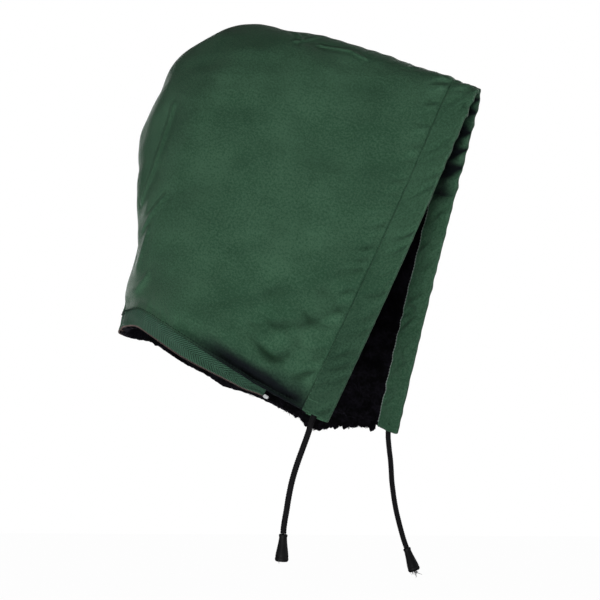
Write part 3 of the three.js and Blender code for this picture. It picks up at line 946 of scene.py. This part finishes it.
def make_pile_edge(side):
    """The pile's edge, hanging ragged below the neck seam."""
    seed = SEEDS[side]["pile_edge"]
    neck = necks[side]
    run = np.linspace(0.5, neck.run[-1], EDGE_STATIONS)
    # ragged by the front, a plain bound edge further round
    ragged = rise_from(RAGGED_LEAST, fade(run, RAGGED_RUN[side] - RAGGED_FADE, RAGGED_RUN[side]))
    edge = sum(height * waves(run[:, None], length, seed + step, 10) for height, length, step in RAGGED_WAVES)
    hang = pile_hang(side, run) + ragged * edge
    angle = np.linspace(0, TURN, EDGE_SIDES, endpoint=False)
    u = np.broadcast_to(run[:, None], (EDGE_STATIONS, EDGE_SIDES))
    v = np.broadcast_to(angle * EDGE_ROUND, u.shape)
    tufts = sum(height * domes(u, v, size, seed + step) for height, size, step in EDGE_TUFTS)
    fluff = (tufts - EDGE_TUFT_SINK) * ragged[:, None]
    # a rounded box section keeps the band full down to its edge
    square = reach_of_box(np.cos(angle), np.sin(angle))
    reach = ((hang - EDGE_TOP) / 2)[:, None] + fluff
    drop = ((hang + EDGE_TOP) / 2)[:, None] + reach * np.sin(angle) * square
    depth = EDGE_DEPTH + (PILE_THICK / 2 + fluff * EDGE_TUFT_SPREAD) * np.cos(angle) * square
    above = fade(drop, EDGE_TOP, 1)
    depth = np.maximum(depth, LINING_DEPTH + EDGE_CLEAR + EDGE_CLEAR_ABOVE * above)
    rings = neck_band(neck.at(run), drop, depth)
    rings[..., 1] = np.minimum(rings[..., 1], EDGE_ACROSS)
    points, faces = tube(rings)
    return piece(f"pile_edge_{side}", points, faces, PILE, (), None, side)


pile_edges = {half: make_pile_edge(half) for half in SIDES}


# Casing along the front edge
CASING_STATIONS = 301
FOLD_RADIUS = 3.0
FOLD_OPEN = 0.25
INNER_DEPTHS = (1.5, 5.5)
INNER_LEAST = 3.8
TUNNEL_DEPTH = 34
TUNNEL_WALL = 1.1
TUNNEL_LEAST = 0.35
# where the gathers grow and lose height, as shares of the front edge
GATHERS_GROW = (0.64, 0.78)
GATHERS_LOSE = (0.965, 1.0)
GATHERS_LOSS = 0.5
GATHER_PITCH = 16.5
GATHER_SLANT = 0.25
GATHER_ROUND = 0.65
GATHER_HEIGHT = 2.0
GATHER_SINK = 1.35
GATHER_OUTSIDE = 0.3
GATHER_INSIDE = 3.6
# height and run of the two drifts in where the gathers lie, and the slant of the second
DRIFT = (0.9, 21)
QUICK_DRIFT = (0.5, 9)
QUICK_SLANT = 0.12
# height, distance from the front fold and half width of the bands that swell and crumple
SWELL_BAND = (1, 12, 13)
SMALL_BAND = (1, 11, 6)
# how far the loose cloth swells, and what the inner face lacks of it away from its edge
LOOSE = 1.25
LOOSE_LESS = 0.15
LOOSE_INSIDE = (16, 21)
# height, length and half width of the front fold's wave, and how much more where gathered
FOLD_WAVE = (0.35, 15, 9)
FOLD_WAVE_MORE = 1.9
# the distances over which it grows, and the range it is held to
FOLD_WAVE_RUN = (-1, 2)
WAVED_DISTANCES = (-1.2, 25.4)
# depth, distance from the peak and half width of the hollow there
PEAK_SINK = (0.9, 0, 2.2)
# height, length, slant and stretch of waves over the casing
GATHER_WAVES = (0.3, 8, GATHER_SLANT, 1)
SMALL_WAVES = (0.8, 11, 0, 1)
LONG_WAVES = (0.6, 24, 0.8, 0.5)
SHORT_WAVES = (0.65, 12, 0.9, 0.6)
# the runs from the foot over which waves grow on the inner face
SOFT_RUN = (15, 60)
SMALL_RUN = (20, 60)
# how flat the foot is, over which run, and how the cord fills the tunnel near it
FOOT_FLAT = 0.7
FOOT_RUN = (0, 10)
CORD_SWELL = (1.3, 12, 8)
CORD_RUN = (22, 46)
# painted shade between the gathers, deeper in on the inner face, and towards the peak
GATHER_SHADE = 2.4
GATHER_TONE_POWER = 1.1
FACING_SHADE = 0.95
FACING_TONE_RUN = (2, 12)
PEAK_SHADE = 0.3
PEAK_SHARES = (0.82, 0.95)
TONE_MOST = 0.96
# darkness, distance from the front fold and half width along the stitches
STITCH_TONE = (0.10, CASING_WIDTH, 1.2)
# the runs over which the painted shade by the foot fades, and how much of it the inner face lacks
FOOT_SHADE_RUN = (40, 170)
FOOT_SHADE_INSIDE = 0.75


def casing_profile():
    """Distance behind the front fold and depth below the outer face, once round."""
    outer = [(25.2, 1.5), (24.6, 0.5), (23.4, 0.05), (21, 0), (18, 0), (15, 0), (12, 0), (9, 0),
             (6.5, 0), (4.4, 0.1)]
    fold = [(FOLD_RADIUS * (1 - math.sin(t)), FOLD_RADIUS * (1 - math.cos(t)) + 0.1)
            for t in np.linspace(FOLD_OPEN, math.pi - FOLD_OPEN, 11)]
    inner = [(4.4, 6.1), (6.5, 6.5), (9, 6.9), (11, 6.9), (13, 6.6), (15.5, 6.3), (17.4, 6.1), (19, 6.0),
             (19.9, 5.5), (20.5, 6.1), (21.3, 6.4), (21.8, 6.0), (21.9, 4.4), (21.9, 3.0)]
    return np.array(outer + fold + inner)


def even_along(side):
    """Places along the front edge at even steps of its length."""
    fine = np.linspace(0, 1, 1500)
    run = run_lengths(cloth_point(side, np.zeros_like(fine), fine))
    return np.interp(np.linspace(0, run[-1], CASING_STATIONS), run, fine)


def make_casing(side):
    seed = SEEDS[side]["casing"]
    profile = casing_profile()
    along_line = even_along(side)
    front = cloth_point(side, np.zeros_like(along_line), along_line)
    run_line = run_lengths(front)
    shape = (CASING_STATIONS, len(profile))
    distance = np.broadcast_to(profile[:, 0], shape)
    depth = np.broadcast_to(profile[:, 1], shape)
    along = np.broadcast_to(along_line[:, None], shape)
    run = np.broadcast_to(run_line[:, None], shape)
    inner_side = ease(depth, *INNER_DEPTHS)
    # gathers that the drawcord draws up towards the peak, deepest on the inner face
    share = run / run_line[-1]
    drawn = ease(share, *GATHERS_GROW) * (1 - GATHERS_LOSS * ease(share, *GATHERS_LOSE))
    phase = math.pi * (run + GATHER_SLANT * distance) / GATHER_PITCH
    phase = phase + DRIFT[0] * np.sin(run / DRIFT[1] + seed)
    phase = phase + QUICK_DRIFT[0] * np.sin(run / QUICK_DRIFT[1] + QUICK_SLANT * distance)
    lobes = np.abs(np.sin(phase)) ** GATHER_ROUND
    gather = GATHER_HEIGHT * lobes - GATHER_SINK + slanted(run, distance, seed, *GATHER_WAVES)
    soft = slanted(run, distance, seed + 1, *LONG_WAVES) + slanted(run, distance, seed + 4, *SHORT_WAVES)
    centre = ridge(distance, *SWELL_BAND)
    swell = gather * drawn * centre * (GATHER_OUTSIDE + GATHER_INSIDE * inner_side)
    inside = inner_side * ease(run, *SOFT_RUN) * fade(distance, *LOOSE_INSIDE)
    swell = swell + soft * centre * (LOOSE - LOOSE_LESS * inside)
    small = inner_side * ridge(distance, *SMALL_BAND) * ease(run, *SMALL_RUN)
    swell = swell + small * slanted(run, distance, seed + 2, *SMALL_WAVES)
    # the front fold waves a little, more where it is gathered
    height, length, spread = FOLD_WAVE
    edge_wave = (height + FOLD_WAVE_MORE * drawn) * waves(run[..., None], length, seed + 3, FEW_WAVES)
    edge_wave = edge_wave * bump(distance, spread) * ease(distance, *FOLD_WAVE_RUN)
    distance = np.clip(distance + 0.5 * edge_wave, *WAVED_DISTANCES)
    row = row_behind_front(side, along, np.maximum(distance, 0))
    point = cloth_point(side, row, along)
    normal = cloth_normal(side, row, along)
    beyond = cloth_point(side, np.zeros_like(row), along)
    beyond = unit(beyond - cloth_point(side, np.full_like(row, 0.3), along))
    point = point + beyond * np.maximum(-distance, 0)[..., None]
    flat_foot = 1 - FOOT_FLAT * fade(run, *FOOT_RUN)
    depth = depth - swell * (1 - 2 * inner_side) * flat_foot + ridge(run_line[-1] - run, *PEAK_SINK)
    height, middle, spread = CORD_SWELL
    depth = depth + height * inner_side * bump(distance - middle, spread) * fade(run, *CORD_RUN)
    depth = np.maximum(depth, INNER_LEAST * inner_side)
    outer = point - normal * depth[..., None]
    outer[..., 1] = np.minimum(outer[..., 1], CENTRE_SIDE)
    # the tunnel goes in from the foot, walls one cloth thick
    stations = int(np.searchsorted(run_line, TUNNEL_DEPTH))
    middle = outer[:stations].mean(axis=1, keepdims=True)
    spread = outer[:stations] - middle
    length = np.maximum(np.linalg.norm(spread, axis=-1, keepdims=True), TINY)
    inner = middle + spread * np.maximum(1 - TUNNEL_WALL / length, TUNNEL_LEAST)
    lip = outer[:1] * 0.5 + inner[:1] * 0.5 + unit(front[0] - front[3]) * 0.5
    points, faces = tube(np.concatenate([inner[::-1], lip, outer]))
    uv = grid_uv(np.concatenate([run_line[:stations][::-1], [0], run_line]), run_lengths(profile))
    # painted shade between the gathers, on the facing and towards the peak, the darker stitch line, and
    # painted shade by the foot
    tone = GATHER_SHADE * centre * (1 - lobes) ** GATHER_TONE_POWER
    tone = tone + FACING_SHADE * ease(distance, *FACING_TONE_RUN) + PEAK_SHADE * ease(share, *PEAK_SHARES)
    tone = np.clip(tone * drawn * inner_side, 0, TONE_MOST)
    tone = tone + ridge(profile[None, :, 0], *STITCH_TONE) * (1 - inner_side)
    tone = tone + CORNER_SHADE * fade(run, *FOOT_SHADE_RUN) * (1 - FOOT_SHADE_INSIDE * inner_side)
    tone = np.concatenate([tone[:stations][::-1], tone[:1], tone]).reshape(-1)
    tone = np.concatenate([np.clip(tone, 0, 1), [0, 0]])
    casing = piece(f"casing_cloth_{side}", points, faces, SHELL, [f"casing_{side}"], uv, side, tone)
    return casing, outer


casings = {}
casing_grids = {}
for half in SIDES:
    casings[half], casing_grids[half] = make_casing(half)

# Zip round the neck
ZIP_END_SHARE = 0.56
NARROW_RUN = 135
# the tape curls under still more by the right front corner
CORNER_CURL = 0.3
CORNER_CURL_RUN = (ZIP_SETBACK, ZIP_SETBACK + 20)
TAPE_STATIONS = 460
TAPE_TOP = -3
TAPE_FRONT_POINTS = 15
TAPE_BACK_POINTS = 8
# how thick the woven body is as a share of the coil's edge, and where it thickens
TAPE_BODY = 0.72
TAPE_BODY_RUN = (9, 12.5)
# height, length, slant and stretch of the tape's waves, and the drops over which they grow
TAPE_WAVE = (0.35, 26, 0, 2)
TAPE_WAVE_RUN = (0, 8)
# how far its top is tucked in under the cloth, and between which drops
TAPE_TUCK = 1.5
TAPE_TUCK_DROPS = (-1.5, 0.4)
# height, drop and half width of the raised line along it
TAPE_CORD = (0.25, 2.0, 0.7)
COIL_PITCH = 1.3
COIL_RADIUS = 0.6
COIL_WIRE = 0.3
COIL_SIDES = 5
COIL_TURN_STEPS = 9
COIL_BELOW = 0.35
COIL_DEPTH = TAPE_INSET + TAPE_THICK / 2 + 0.3


def tape_narrowing(run):
    """The share of the tape's width that shows, less by its ends where it curls under."""
    from_end = np.minimum(run, run[-1] + ZIP_SETBACK - run)
    share = rise_from(ZIP_END_SHARE, ease(from_end, ZIP_SETBACK, NARROW_RUN))
    return share * (1 - CORNER_CURL * fade(run, *CORNER_CURL_RUN))


def make_tape():
    *line, run = neck_line(TAPE_STATIONS)
    drops = np.concatenate([np.linspace(TAPE_TOP, TAPE_REACH, TAPE_FRONT_POINTS),
                            np.linspace(TAPE_REACH, TAPE_TOP, TAPE_BACK_POINTS)])
    is_front = np.arange(len(drops)) < TAPE_FRONT_POINTS
    body = TAPE_THICK * rise_from(TAPE_BODY, ease(drops, *TAPE_BODY_RUN)) + ridge(drops, *TAPE_CORD)
    depth = TAPE_INSET + TAPE_THICK - np.where(is_front, body, 0)
    drop = np.broadcast_to(drops, (len(run), len(drops)))
    wave = slanted(np.broadcast_to(run[:, None], drop.shape), drop, TAPE_SEED, *TAPE_WAVE)
    depth = depth + wave * ease(drop, *TAPE_WAVE_RUN) + TAPE_TUCK * fade(drop, *TAPE_TUCK_DROPS)
    points, faces = tube(neck_band(line, drop * tape_narrowing(run)[:, None], depth))
    return piece("tape", points, faces, TAPE, ["zip_tape"], grid_uv(run, drops))


def make_coil():
    length = necks["right"].run[-1] + necks["left"].run[-1] - 2 * ZIP_SETBACK
    turns = int(length / COIL_PITCH)
    p, n, d, _, run = neck_line(turns * COIL_TURN_STEPS // 2 + 1)
    phase = TURN * (run - run[0]) / COIL_PITCH
    drop = (TAPE_REACH + COIL_BELOW) * tape_narrowing(run) + COIL_RADIUS * np.cos(phase)
    depth = COIL_DEPTH + COIL_RADIUS * np.sin(phase)
    centre = p + d * drop[:, None] - n * depth[:, None]
    tangent = unit(np.gradient(centre, axis=0))
    across = unit(np.cross(tangent, n))
    wire = np.full((len(run), 1), COIL_WIRE)
    points, faces = tube(rings_round(centre, wire, across, np.cross(across, tangent), COIL_SIDES))
    return piece("coil", points, faces, COIL, ["zip_teeth"])


make_tape()
make_coil()

# middle and size of each block of the zip's end piece
STOP_BLOCKS = [
    ((0, 0, 0), (4.8, 3.2, 1.8)),
    ((-1.3, 0, 0.8), (1.2, 2.8, 0.8)),
    ((1.1, 0.1, 0.8), (1.8, 2.4, 0.7)),
]
STOP_RUN = ZIP_SETBACK - CLEAR - 3
STOP_DROP = ZIP_END_SHARE * TAPE_REACH - 2.6
STOP_DEPTH = PANEL_THICK - 1.9
BLOCK_TAPER = 0.35


def rounded_block(size):
    """A box with rounded edges, as points and faces round the origin."""
    angle = np.linspace(0, TURN, 28, endpoint=False)
    c = np.cos(angle)
    s = np.sin(angle)
    square = reach_of_box(c, s)
    rings = []
    for z in np.linspace(-1, 1, 7):
        taper = 1 - np.abs(z) ** 5 * BLOCK_TAPER
        rings.append(np.stack([c * square * taper, s * square * taper, np.full_like(c, z)], -1))
    return tube(np.array(rings) * np.array(size) / 2)


def make_stop():
    p, n, d = (values[0] for values in necks["right"].at(np.array([STOP_RUN]))[:3])
    axes = np.stack([unit(np.cross(n, d)), d, n])
    centre = p + d * STOP_DROP - n * STOP_DEPTH
    parts = []
    for middle, size in STOP_BLOCKS:
        points, faces = rounded_block(size)
        parts.append(((points + middle) @ axes + centre, faces))
    points, faces = join_parts(parts)
    return piece("stop", points, faces, STOP, ["zip_stop"])


make_stop()


# Drawcord ends
CORD_STEP = 0.5
ROUTE_STEPS = 12
CORD_SIDES = 48
CORD_CORE = CORD_DIAMETER / 2 - 0.62
CARRIERS = 6
BRAID_LAY = 4.2
BRAID_HEIGHT = 0.78
BRAID_OVER = 0.38
BRAID_SHARP = 2.2


def smooth_route(route):
    """The centripetal curve through the route's points, at even steps, and its length."""
    pts = np.array(route, float)
    pts = np.concatenate([[2 * pts[0] - pts[1]], pts, [2 * pts[-1] - pts[-2]]])
    out = []
    for k in range(1, len(pts) - 2):
        p0, p1, p2, p3 = pts[k - 1:k + 3]
        t0 = 0.0
        t1 = t0 + np.linalg.norm(p1 - p0) ** 0.5
        t2 = t1 + np.linalg.norm(p2 - p1) ** 0.5
        t3 = t2 + np.linalg.norm(p3 - p2) ** 0.5
        for t in np.linspace(t1, t2, ROUTE_STEPS, endpoint=False):
            a1 = (t1 - t) / (t1 - t0) * p0 + (t - t0) / (t1 - t0) * p1
            a2 = (t2 - t) / (t2 - t1) * p1 + (t - t1) / (t2 - t1) * p2
            a3 = (t3 - t) / (t3 - t2) * p2 + (t - t2) / (t3 - t2) * p3
            b1 = (t2 - t) / (t2 - t0) * a1 + (t - t0) / (t2 - t0) * a2
            b2 = (t3 - t) / (t3 - t1) * a2 + (t - t1) / (t3 - t1) * a3
            out.append((t2 - t) / (t2 - t1) * b1 + (t - t1) / (t2 - t1) * b2)
    out.append(pts[-2])
    out = np.array(out)
    run = run_lengths(out)
    even = np.linspace(0, run[-1], int(run[-1] / CORD_STEP) + 1)
    return points_at(even, run, out), run[-1]


def frames_along(line):
    """Two directions across a line, carried along it without twisting."""
    tangent = unit(np.gradient(line, axis=0))
    across = np.zeros_like(line)
    across[0] = unit(np.cross(tangent[0], [0.3, 1, 0.2]))
    for k in range(1, len(line)):
        carried = across[k - 1] - tangent[k] * (across[k - 1] @ tangent[k])
        across[k] = carried / np.linalg.norm(carried)
    return across, np.cross(tangent, across)


def arch(x):
    """A round arch over each whole step."""
    return np.sqrt(np.clip(1 - (2 * (x - np.floor(x)) - 1) ** 2, 0, 1))


def make_cord(side):
    line, length = smooth_route(CORD_ROUTES[side])
    across, up = frames_along(line)
    angle = np.linspace(0, TURN, CORD_SIDES, endpoint=False)
    run = np.linspace(0, length, len(line))
    wound = run[:, None] / BRAID_LAY * 2
    turn = CARRIERS * angle[None, :] / TURN
    one = turn + wound
    two = turn - wound
    over = np.clip(BRAID_SHARP * np.sin(math.pi * one) * np.sin(math.pi * two), -1, 1)
    height = np.maximum(arch(one) * (1 - BRAID_OVER + BRAID_OVER * over),
                        arch(two) * (1 - BRAID_OVER - BRAID_OVER * over))
    points, faces = tube(rings_round(line, CORD_CORE + BRAID_HEIGHT * height, across, up, CORD_SIDES))
    uv = grid_uv(run, angle * CORD_DIAMETER / 2)
    return piece(f"cord_{side}", points, faces, CORD, [f"drawcord_{side}"], uv), line, length


# share of the length down, and radius as a share of the neck's
BELL_PROFILE = np.array([
    (0, 0.0), (0.0, 0.78), (0.015, 0.95), (0.05, 1.0), (0.09, 0.97), (0.11, 0.90), (0.16, 0.92), (0.3, 1.02),
    (0.45, 1.17), (0.6, 1.33), (0.72, 1.45), (0.8, 1.51), (0.83, 1.47), (0.85, 1.5), (0.9, 1.57),
    (0.95, 1.52), (0.985, 1.36), (1.0, 1.18), (0.99, 1.02), (0.93, 0.95), (0.9, 0.6), (0.9, 0.0),
])
BELL_SIDES = 40
FLATS = 8
FLAT_DEPTH = 0.035
FLATS_GROW = (0.2, 0.45)
FLATS_END = 0.82


def cord_end(side):
    """The last point of a cord's route, and the direction there."""
    route = np.array(CORD_ROUTES[side])
    return route[-1], unit(route[-1] - route[-2])


def make_bell(side):
    end, onward = cord_end(side)
    across = unit(np.cross(onward, [0.2, 1, 0.1]))
    angle = np.linspace(0, TURN, BELL_SIDES, endpoint=False)
    down, wide = BELL_PROFILE.T[:, :, None]
    # shallow flats moulded round the flare
    flats = FLAT_DEPTH * (0.5 + 0.5 * np.cos(FLATS * angle)) * ease(down, *FLATS_GROW) * (down < FLATS_END)
    radius = wide * BELL_NECK_DIAMETER / 2 * (1 - flats)
    line = end + onward * (CLEAR + down * BELL_LENGTH)
    points, faces = tube(rings_round(line, radius, across, np.cross(onward, across), BELL_SIDES), caps=False)
    return piece(f"bell_{side}", points, faces, BELL, [f"cord_end_{side}"])


STRAND_TIP = 0.35


def strand(start, direction, length, radius, curl, rng, sides=3, steps=4):
    """A thin tapered strand that curls as it goes."""
    line = [np.array(start, float)]
    heading = unit(np.array(direction, float))
    for _ in range(steps):
        heading = unit(heading + curl * rng.normal(size=3))
        line.append(line[-1] + heading * length / steps)
    line = np.array(line)
    across, up = frames_along(line)
    width = radius * np.linspace(1, STRAND_TIP, steps + 1)
    return tube(rings_round(line, width[:, None], across, up, sides))


# number and length of the cut yarns that show under each bell
TIP_YARNS = {"right": (9, 4.2), "left": (16, 8.5)}
TIP_INSIDE = 3
TIP_SPREAD = 1.02
TIP_SPLAY = 0.22
YARN_RADIUS = 0.42
YARN_CURL = 0.3


def make_tip(side):
    """Cut ends of the cord's yarns, showing under the bell."""
    count, length = TIP_YARNS[side]
    rng = np.random.default_rng(SEEDS[side]["tip"])
    end, onward = cord_end(side)
    base = end + onward * (BELL_LENGTH - TIP_INSIDE)
    parts = []
    for _ in range(count):
        spot = base + TIP_SPREAD * rng.normal(size=3)
        heading = onward + TIP_SPLAY * rng.normal(size=3)
        yarn = length * rng.uniform(0.6, 1.1)
        parts.append(strand(spot, heading, yarn, YARN_RADIUS, YARN_CURL, rng, sides=5, steps=5))
    points, faces = join_parts(parts)
    return piece(f"cord_tip_{side}", points, faces, CORD, (), np.zeros((len(points), 2)))


cords = {half: make_cord(half) for half in SIDES}
bells = {half: make_bell(half) for half in SIDES}
tips = {half: make_tip(half) for half in SIDES}

# Strands that make the pile's edge ragged
FRINGE_STRANDS = 1300
FRINGE_NEAR = FRINGE_STRANDS * 3 // 4
FRINGE_LONGEST = 4.4
FRINGE_LONGEST_ROUND = 1.6
FRINGE_RADIUS = 0.3
FRINGE_SPLAY = 0.7
FRINGE_CURL = 0.55


def make_fringe(side):
    rng = np.random.default_rng(SEEDS[side]["fringe"])
    neck = necks[side]
    near_front = rng.uniform(0.5, RAGGED_RUN[side], FRINGE_NEAR)
    further = rng.uniform(RAGGED_RUN[side], neck.run[-1] - 1, FRINGE_STRANDS - FRINGE_NEAR)
    run = np.concatenate([near_front, further])
    p, n, d, _ = neck.at(run)
    hang = pile_hang(side, run)
    longest = np.where(run < RAGGED_RUN[side], FRINGE_LONGEST, FRINGE_LONGEST_ROUND)
    parts = []
    for k in range(FRINGE_STRANDS):
        depth = rng.uniform(PANEL_THICK + 1, PANEL_THICK + PILE_THICK + 1)
        start = p[k] + d[k] * (hang[k] - rng.uniform(0.8, 3)) - n[k] * depth
        heading = d[k] + FRINGE_SPLAY * rng.normal(size=3)
        length = rng.uniform(0.5, 1) * longest[k]
        parts.append(strand(start, heading, length, FRINGE_RADIUS, FRINGE_CURL, rng))
    points, faces = join_parts(parts)
    return piece(f"pile_fringe_{side}", points, faces, PILE, (), None, side)


fringes = {half: make_fringe(half) for half in SIDES}

# Stitches
STITCH_LENGTH = 2.7
STITCH_GAP = 0.8
STITCH_RADIUS = 0.3
STITCH_SIDES = 6
EDGE_STITCH_GAP = 0.4
EDGE_STITCH_RADIUS = 0.46
NECK_STITCH_SHADE = 0.85
# the share along a stitch, its height off the cloth and its width
STITCH_SHAPE = np.array([
    (0, -0.5, 0.5), (0.08, 0.02, 0.85), (0.25, 0.2, 1), (0.5, 0.26, 1), (0.75, 0.2, 1), (0.92, 0.02, 0.85),
    (1, -0.5, 0.5),
])
# how far the casing's inner and outer rows and the neck's row stand off the cloth
INSIDE_OFF = 0.3
OUTSIDE_OFF = 0.08
NECK_OFF = 0.05
# the stations and the profile's points between which the close stitches lie
BAR_STATIONS = (9, 11)
BAR_POINTS = (2, 5)
BAR_STITCHES = 9
BAR_OFF = 0.1


def stitch(start, end, normal, radius=STITCH_RADIUS):
    """One thread between its two holes, standing a little off the cloth."""
    shares, rise, width = STITCH_SHAPE.T[:, :, None]
    line = start + (end - start) * shares + normal * rise
    across = unit(np.cross(unit(end - start), normal))
    return tube(rings_round(line, width * radius, across, normal, STITCH_SIDES))


def stitch_row(line, normals, off, gap=STITCH_GAP, radius=STITCH_RADIUS):
    line = line + off * normals
    run = run_lengths(line)
    parts = []
    for begin in np.arange(1.0, run[-1] - STITCH_LENGTH - 1, STITCH_LENGTH + gap):
        end = begin + STITCH_LENGTH
        normal = unit(points_at(begin + STITCH_LENGTH / 2, run, normals))
        parts.append(stitch(points_at(begin, run, line), points_at(end, run, line), normal, radius))
    return parts


def make_stitches(side):
    cloth = cloths[side]
    casing = casing_grids[side]
    # casing line, outside and inside
    normals = cloth_normal(side, np.full(CASING_STATIONS, 0.7), even_along(side))
    inside = casing[3:-3, -4]
    edge_parts = stitch_row(inside, -normals[3:-3], INSIDE_OFF, EDGE_STITCH_GAP, EDGE_STITCH_RADIUS)
    points, faces = join_parts(edge_parts)
    uv = np.zeros((len(points), 2))
    edge = piece(f"edge_stitches_{side}", points, faces, EDGE_THREAD, (), uv, side)
    outside = casing[:, 1] * 0.5 + casing[:, 2] * 0.5
    casing_parts = stitch_row(outside[3:-3], normals[3:-3], OUTSIDE_OFF)
    # neck seam, just above the edge
    outer = cloth.at_depth(np.zeros(cloth.row.shape))
    normal = unit(np.cross(np.gradient(outer, axis=0), np.gradient(outer, axis=1)))
    middle = SHELL_GRID // 2
    if normal[middle, middle] @ cloth.normal[middle, middle] < 0:
        normal = -normal
    neck_parts = stitch_row(outer[3:-3, 2], normal[3:-3, 2], NECK_OFF)
    neck_parts += stitch_row(outer[-3, 4:-2], normal[-3, 4:-2], NECK_OFF)
    # bar of close stitches by the casing's foot
    off = BAR_OFF * normals[BAR_STATIONS[0]]
    for share in np.linspace(0, 1, BAR_STITCHES):
        ends = [casing[station, BAR_POINTS[0]] * (1 - share) + casing[station, BAR_POINTS[1]] * share + off
                for station in BAR_STATIONS]
        casing_parts.append(stitch(*ends, normals[BAR_STATIONS[0]]))
    # the neck seam's stitches take painted shade, as they lie in the painted fold
    shaded = sum(len(part_points) for part_points, _ in neck_parts)
    points, faces = join_parts(neck_parts + casing_parts)
    tone = np.where(np.arange(len(points)) < shaded, NECK_STITCH_SHADE, 0)
    uv = np.zeros((len(points), 2))
    return piece(f"stitches_{side}", points, faces, THREAD, (), uv, side, tone), edge


stitches = {half: make_stitches(half) for half in SIDES}


# Studio
scene = bpy.context.scene


def aim(obj, target):
    obj.rotation_euler = (Vector(target) - obj.location).to_track_quat("-Z", "Y").to_euler()


def direction(azimuth, elevation):
    a, e = math.radians(azimuth), math.radians(elevation)
    return Vector((math.sin(a) * math.cos(e), -math.cos(a) * math.cos(e), math.sin(e)))


camera_data = bpy.data.cameras.new("camera")
camera_data.sensor_width = SENSOR
camera_data.lens = SENSOR * CAMERA_DISTANCE / FRAME_WIDTH
camera = bpy.data.objects.new("camera", camera_data)
camera.location = LOOK_AT + direction(CAMERA_AZIMUTH, CAMERA_ELEVATION) * CAMERA_DISTANCE
aim(camera, LOOK_AT)
scene.collection.objects.link(camera)
scene.camera = camera

FLOOR_DROP = -1.75
FLOOR_REACH = 80
FLOOR_GLOW = 0.93
WORLD_LIGHT = 0.10
WHITE = (1, 1, 1, 1)
floor_mesh = bpy.data.meshes.new("floor")
corners = [(x * FLOOR_REACH, y * FLOOR_REACH, FLOOR_DROP) for x, y in ((-1, -1), (1, -1), (1, 1), (-1, 1))]
floor_mesh.from_pydata(corners, [], [(0, 1, 2, 3)])
floor = bpy.data.objects.new("floor", floor_mesh)
scene.collection.objects.link(floor)
floor_mesh.materials.append(shader("floor", (0.5, 0.5, 0.5), 0.9, Emission_Color=WHITE,
                                   Emission_Strength=FLOOR_GLOW))
# the floor is pale to look at and throws no light up under the hood
floor.visible_diffuse = False
floor.visible_glossy = False

world = bpy.data.worlds.new("studio")
world.use_nodes = True
background = world.node_tree.nodes["Background"]
background.inputs["Color"].default_value = WHITE
background.inputs["Strength"].default_value = WORLD_LIGHT
bright = world.node_tree.nodes.new("ShaderNodeBackground")
bright.inputs["Color"].default_value = WHITE
bright.inputs["Strength"].default_value = 1.0
path = world.node_tree.nodes.new("ShaderNodeLightPath")
mix = world.node_tree.nodes.new("ShaderNodeMixShader")
world.node_tree.links.new(path.outputs["Is Camera Ray"], mix.inputs[0])
world.node_tree.links.new(background.outputs[0], mix.inputs[1])
world.node_tree.links.new(bright.outputs[0], mix.inputs[2])
world.node_tree.links.new(mix.outputs[0], world.node_tree.nodes["World Output"].inputs["Surface"])
scene.world = world

# name, azimuth, elevation, distance, size, power
LIGHTS = [
    ("key", 4, -22, 2.3, 0.9, 53),
    ("high", 60, 45, 2.4, 1.4, 2),
    ("rim_front", 108, 5, 2.0, 0.6, 10),
    ("behind", 215, 8, 2.6, 2.4, 30),
    ("behind_left", 165, 30, 2.6, 1.8, 14),
]
for name, azimuth, elevation, distance, size, power in LIGHTS:
    data = bpy.data.lights.new(name, "AREA")
    data.shape = "DISK"
    data.size = size
    data.energy = power
    lamp = bpy.data.objects.new(name, data)
    lamp.location = LOOK_AT + direction(azimuth, elevation) * distance
    aim(lamp, LOOK_AT)
    scene.collection.objects.link(lamp)

scene.view_settings.view_transform = "Standard"
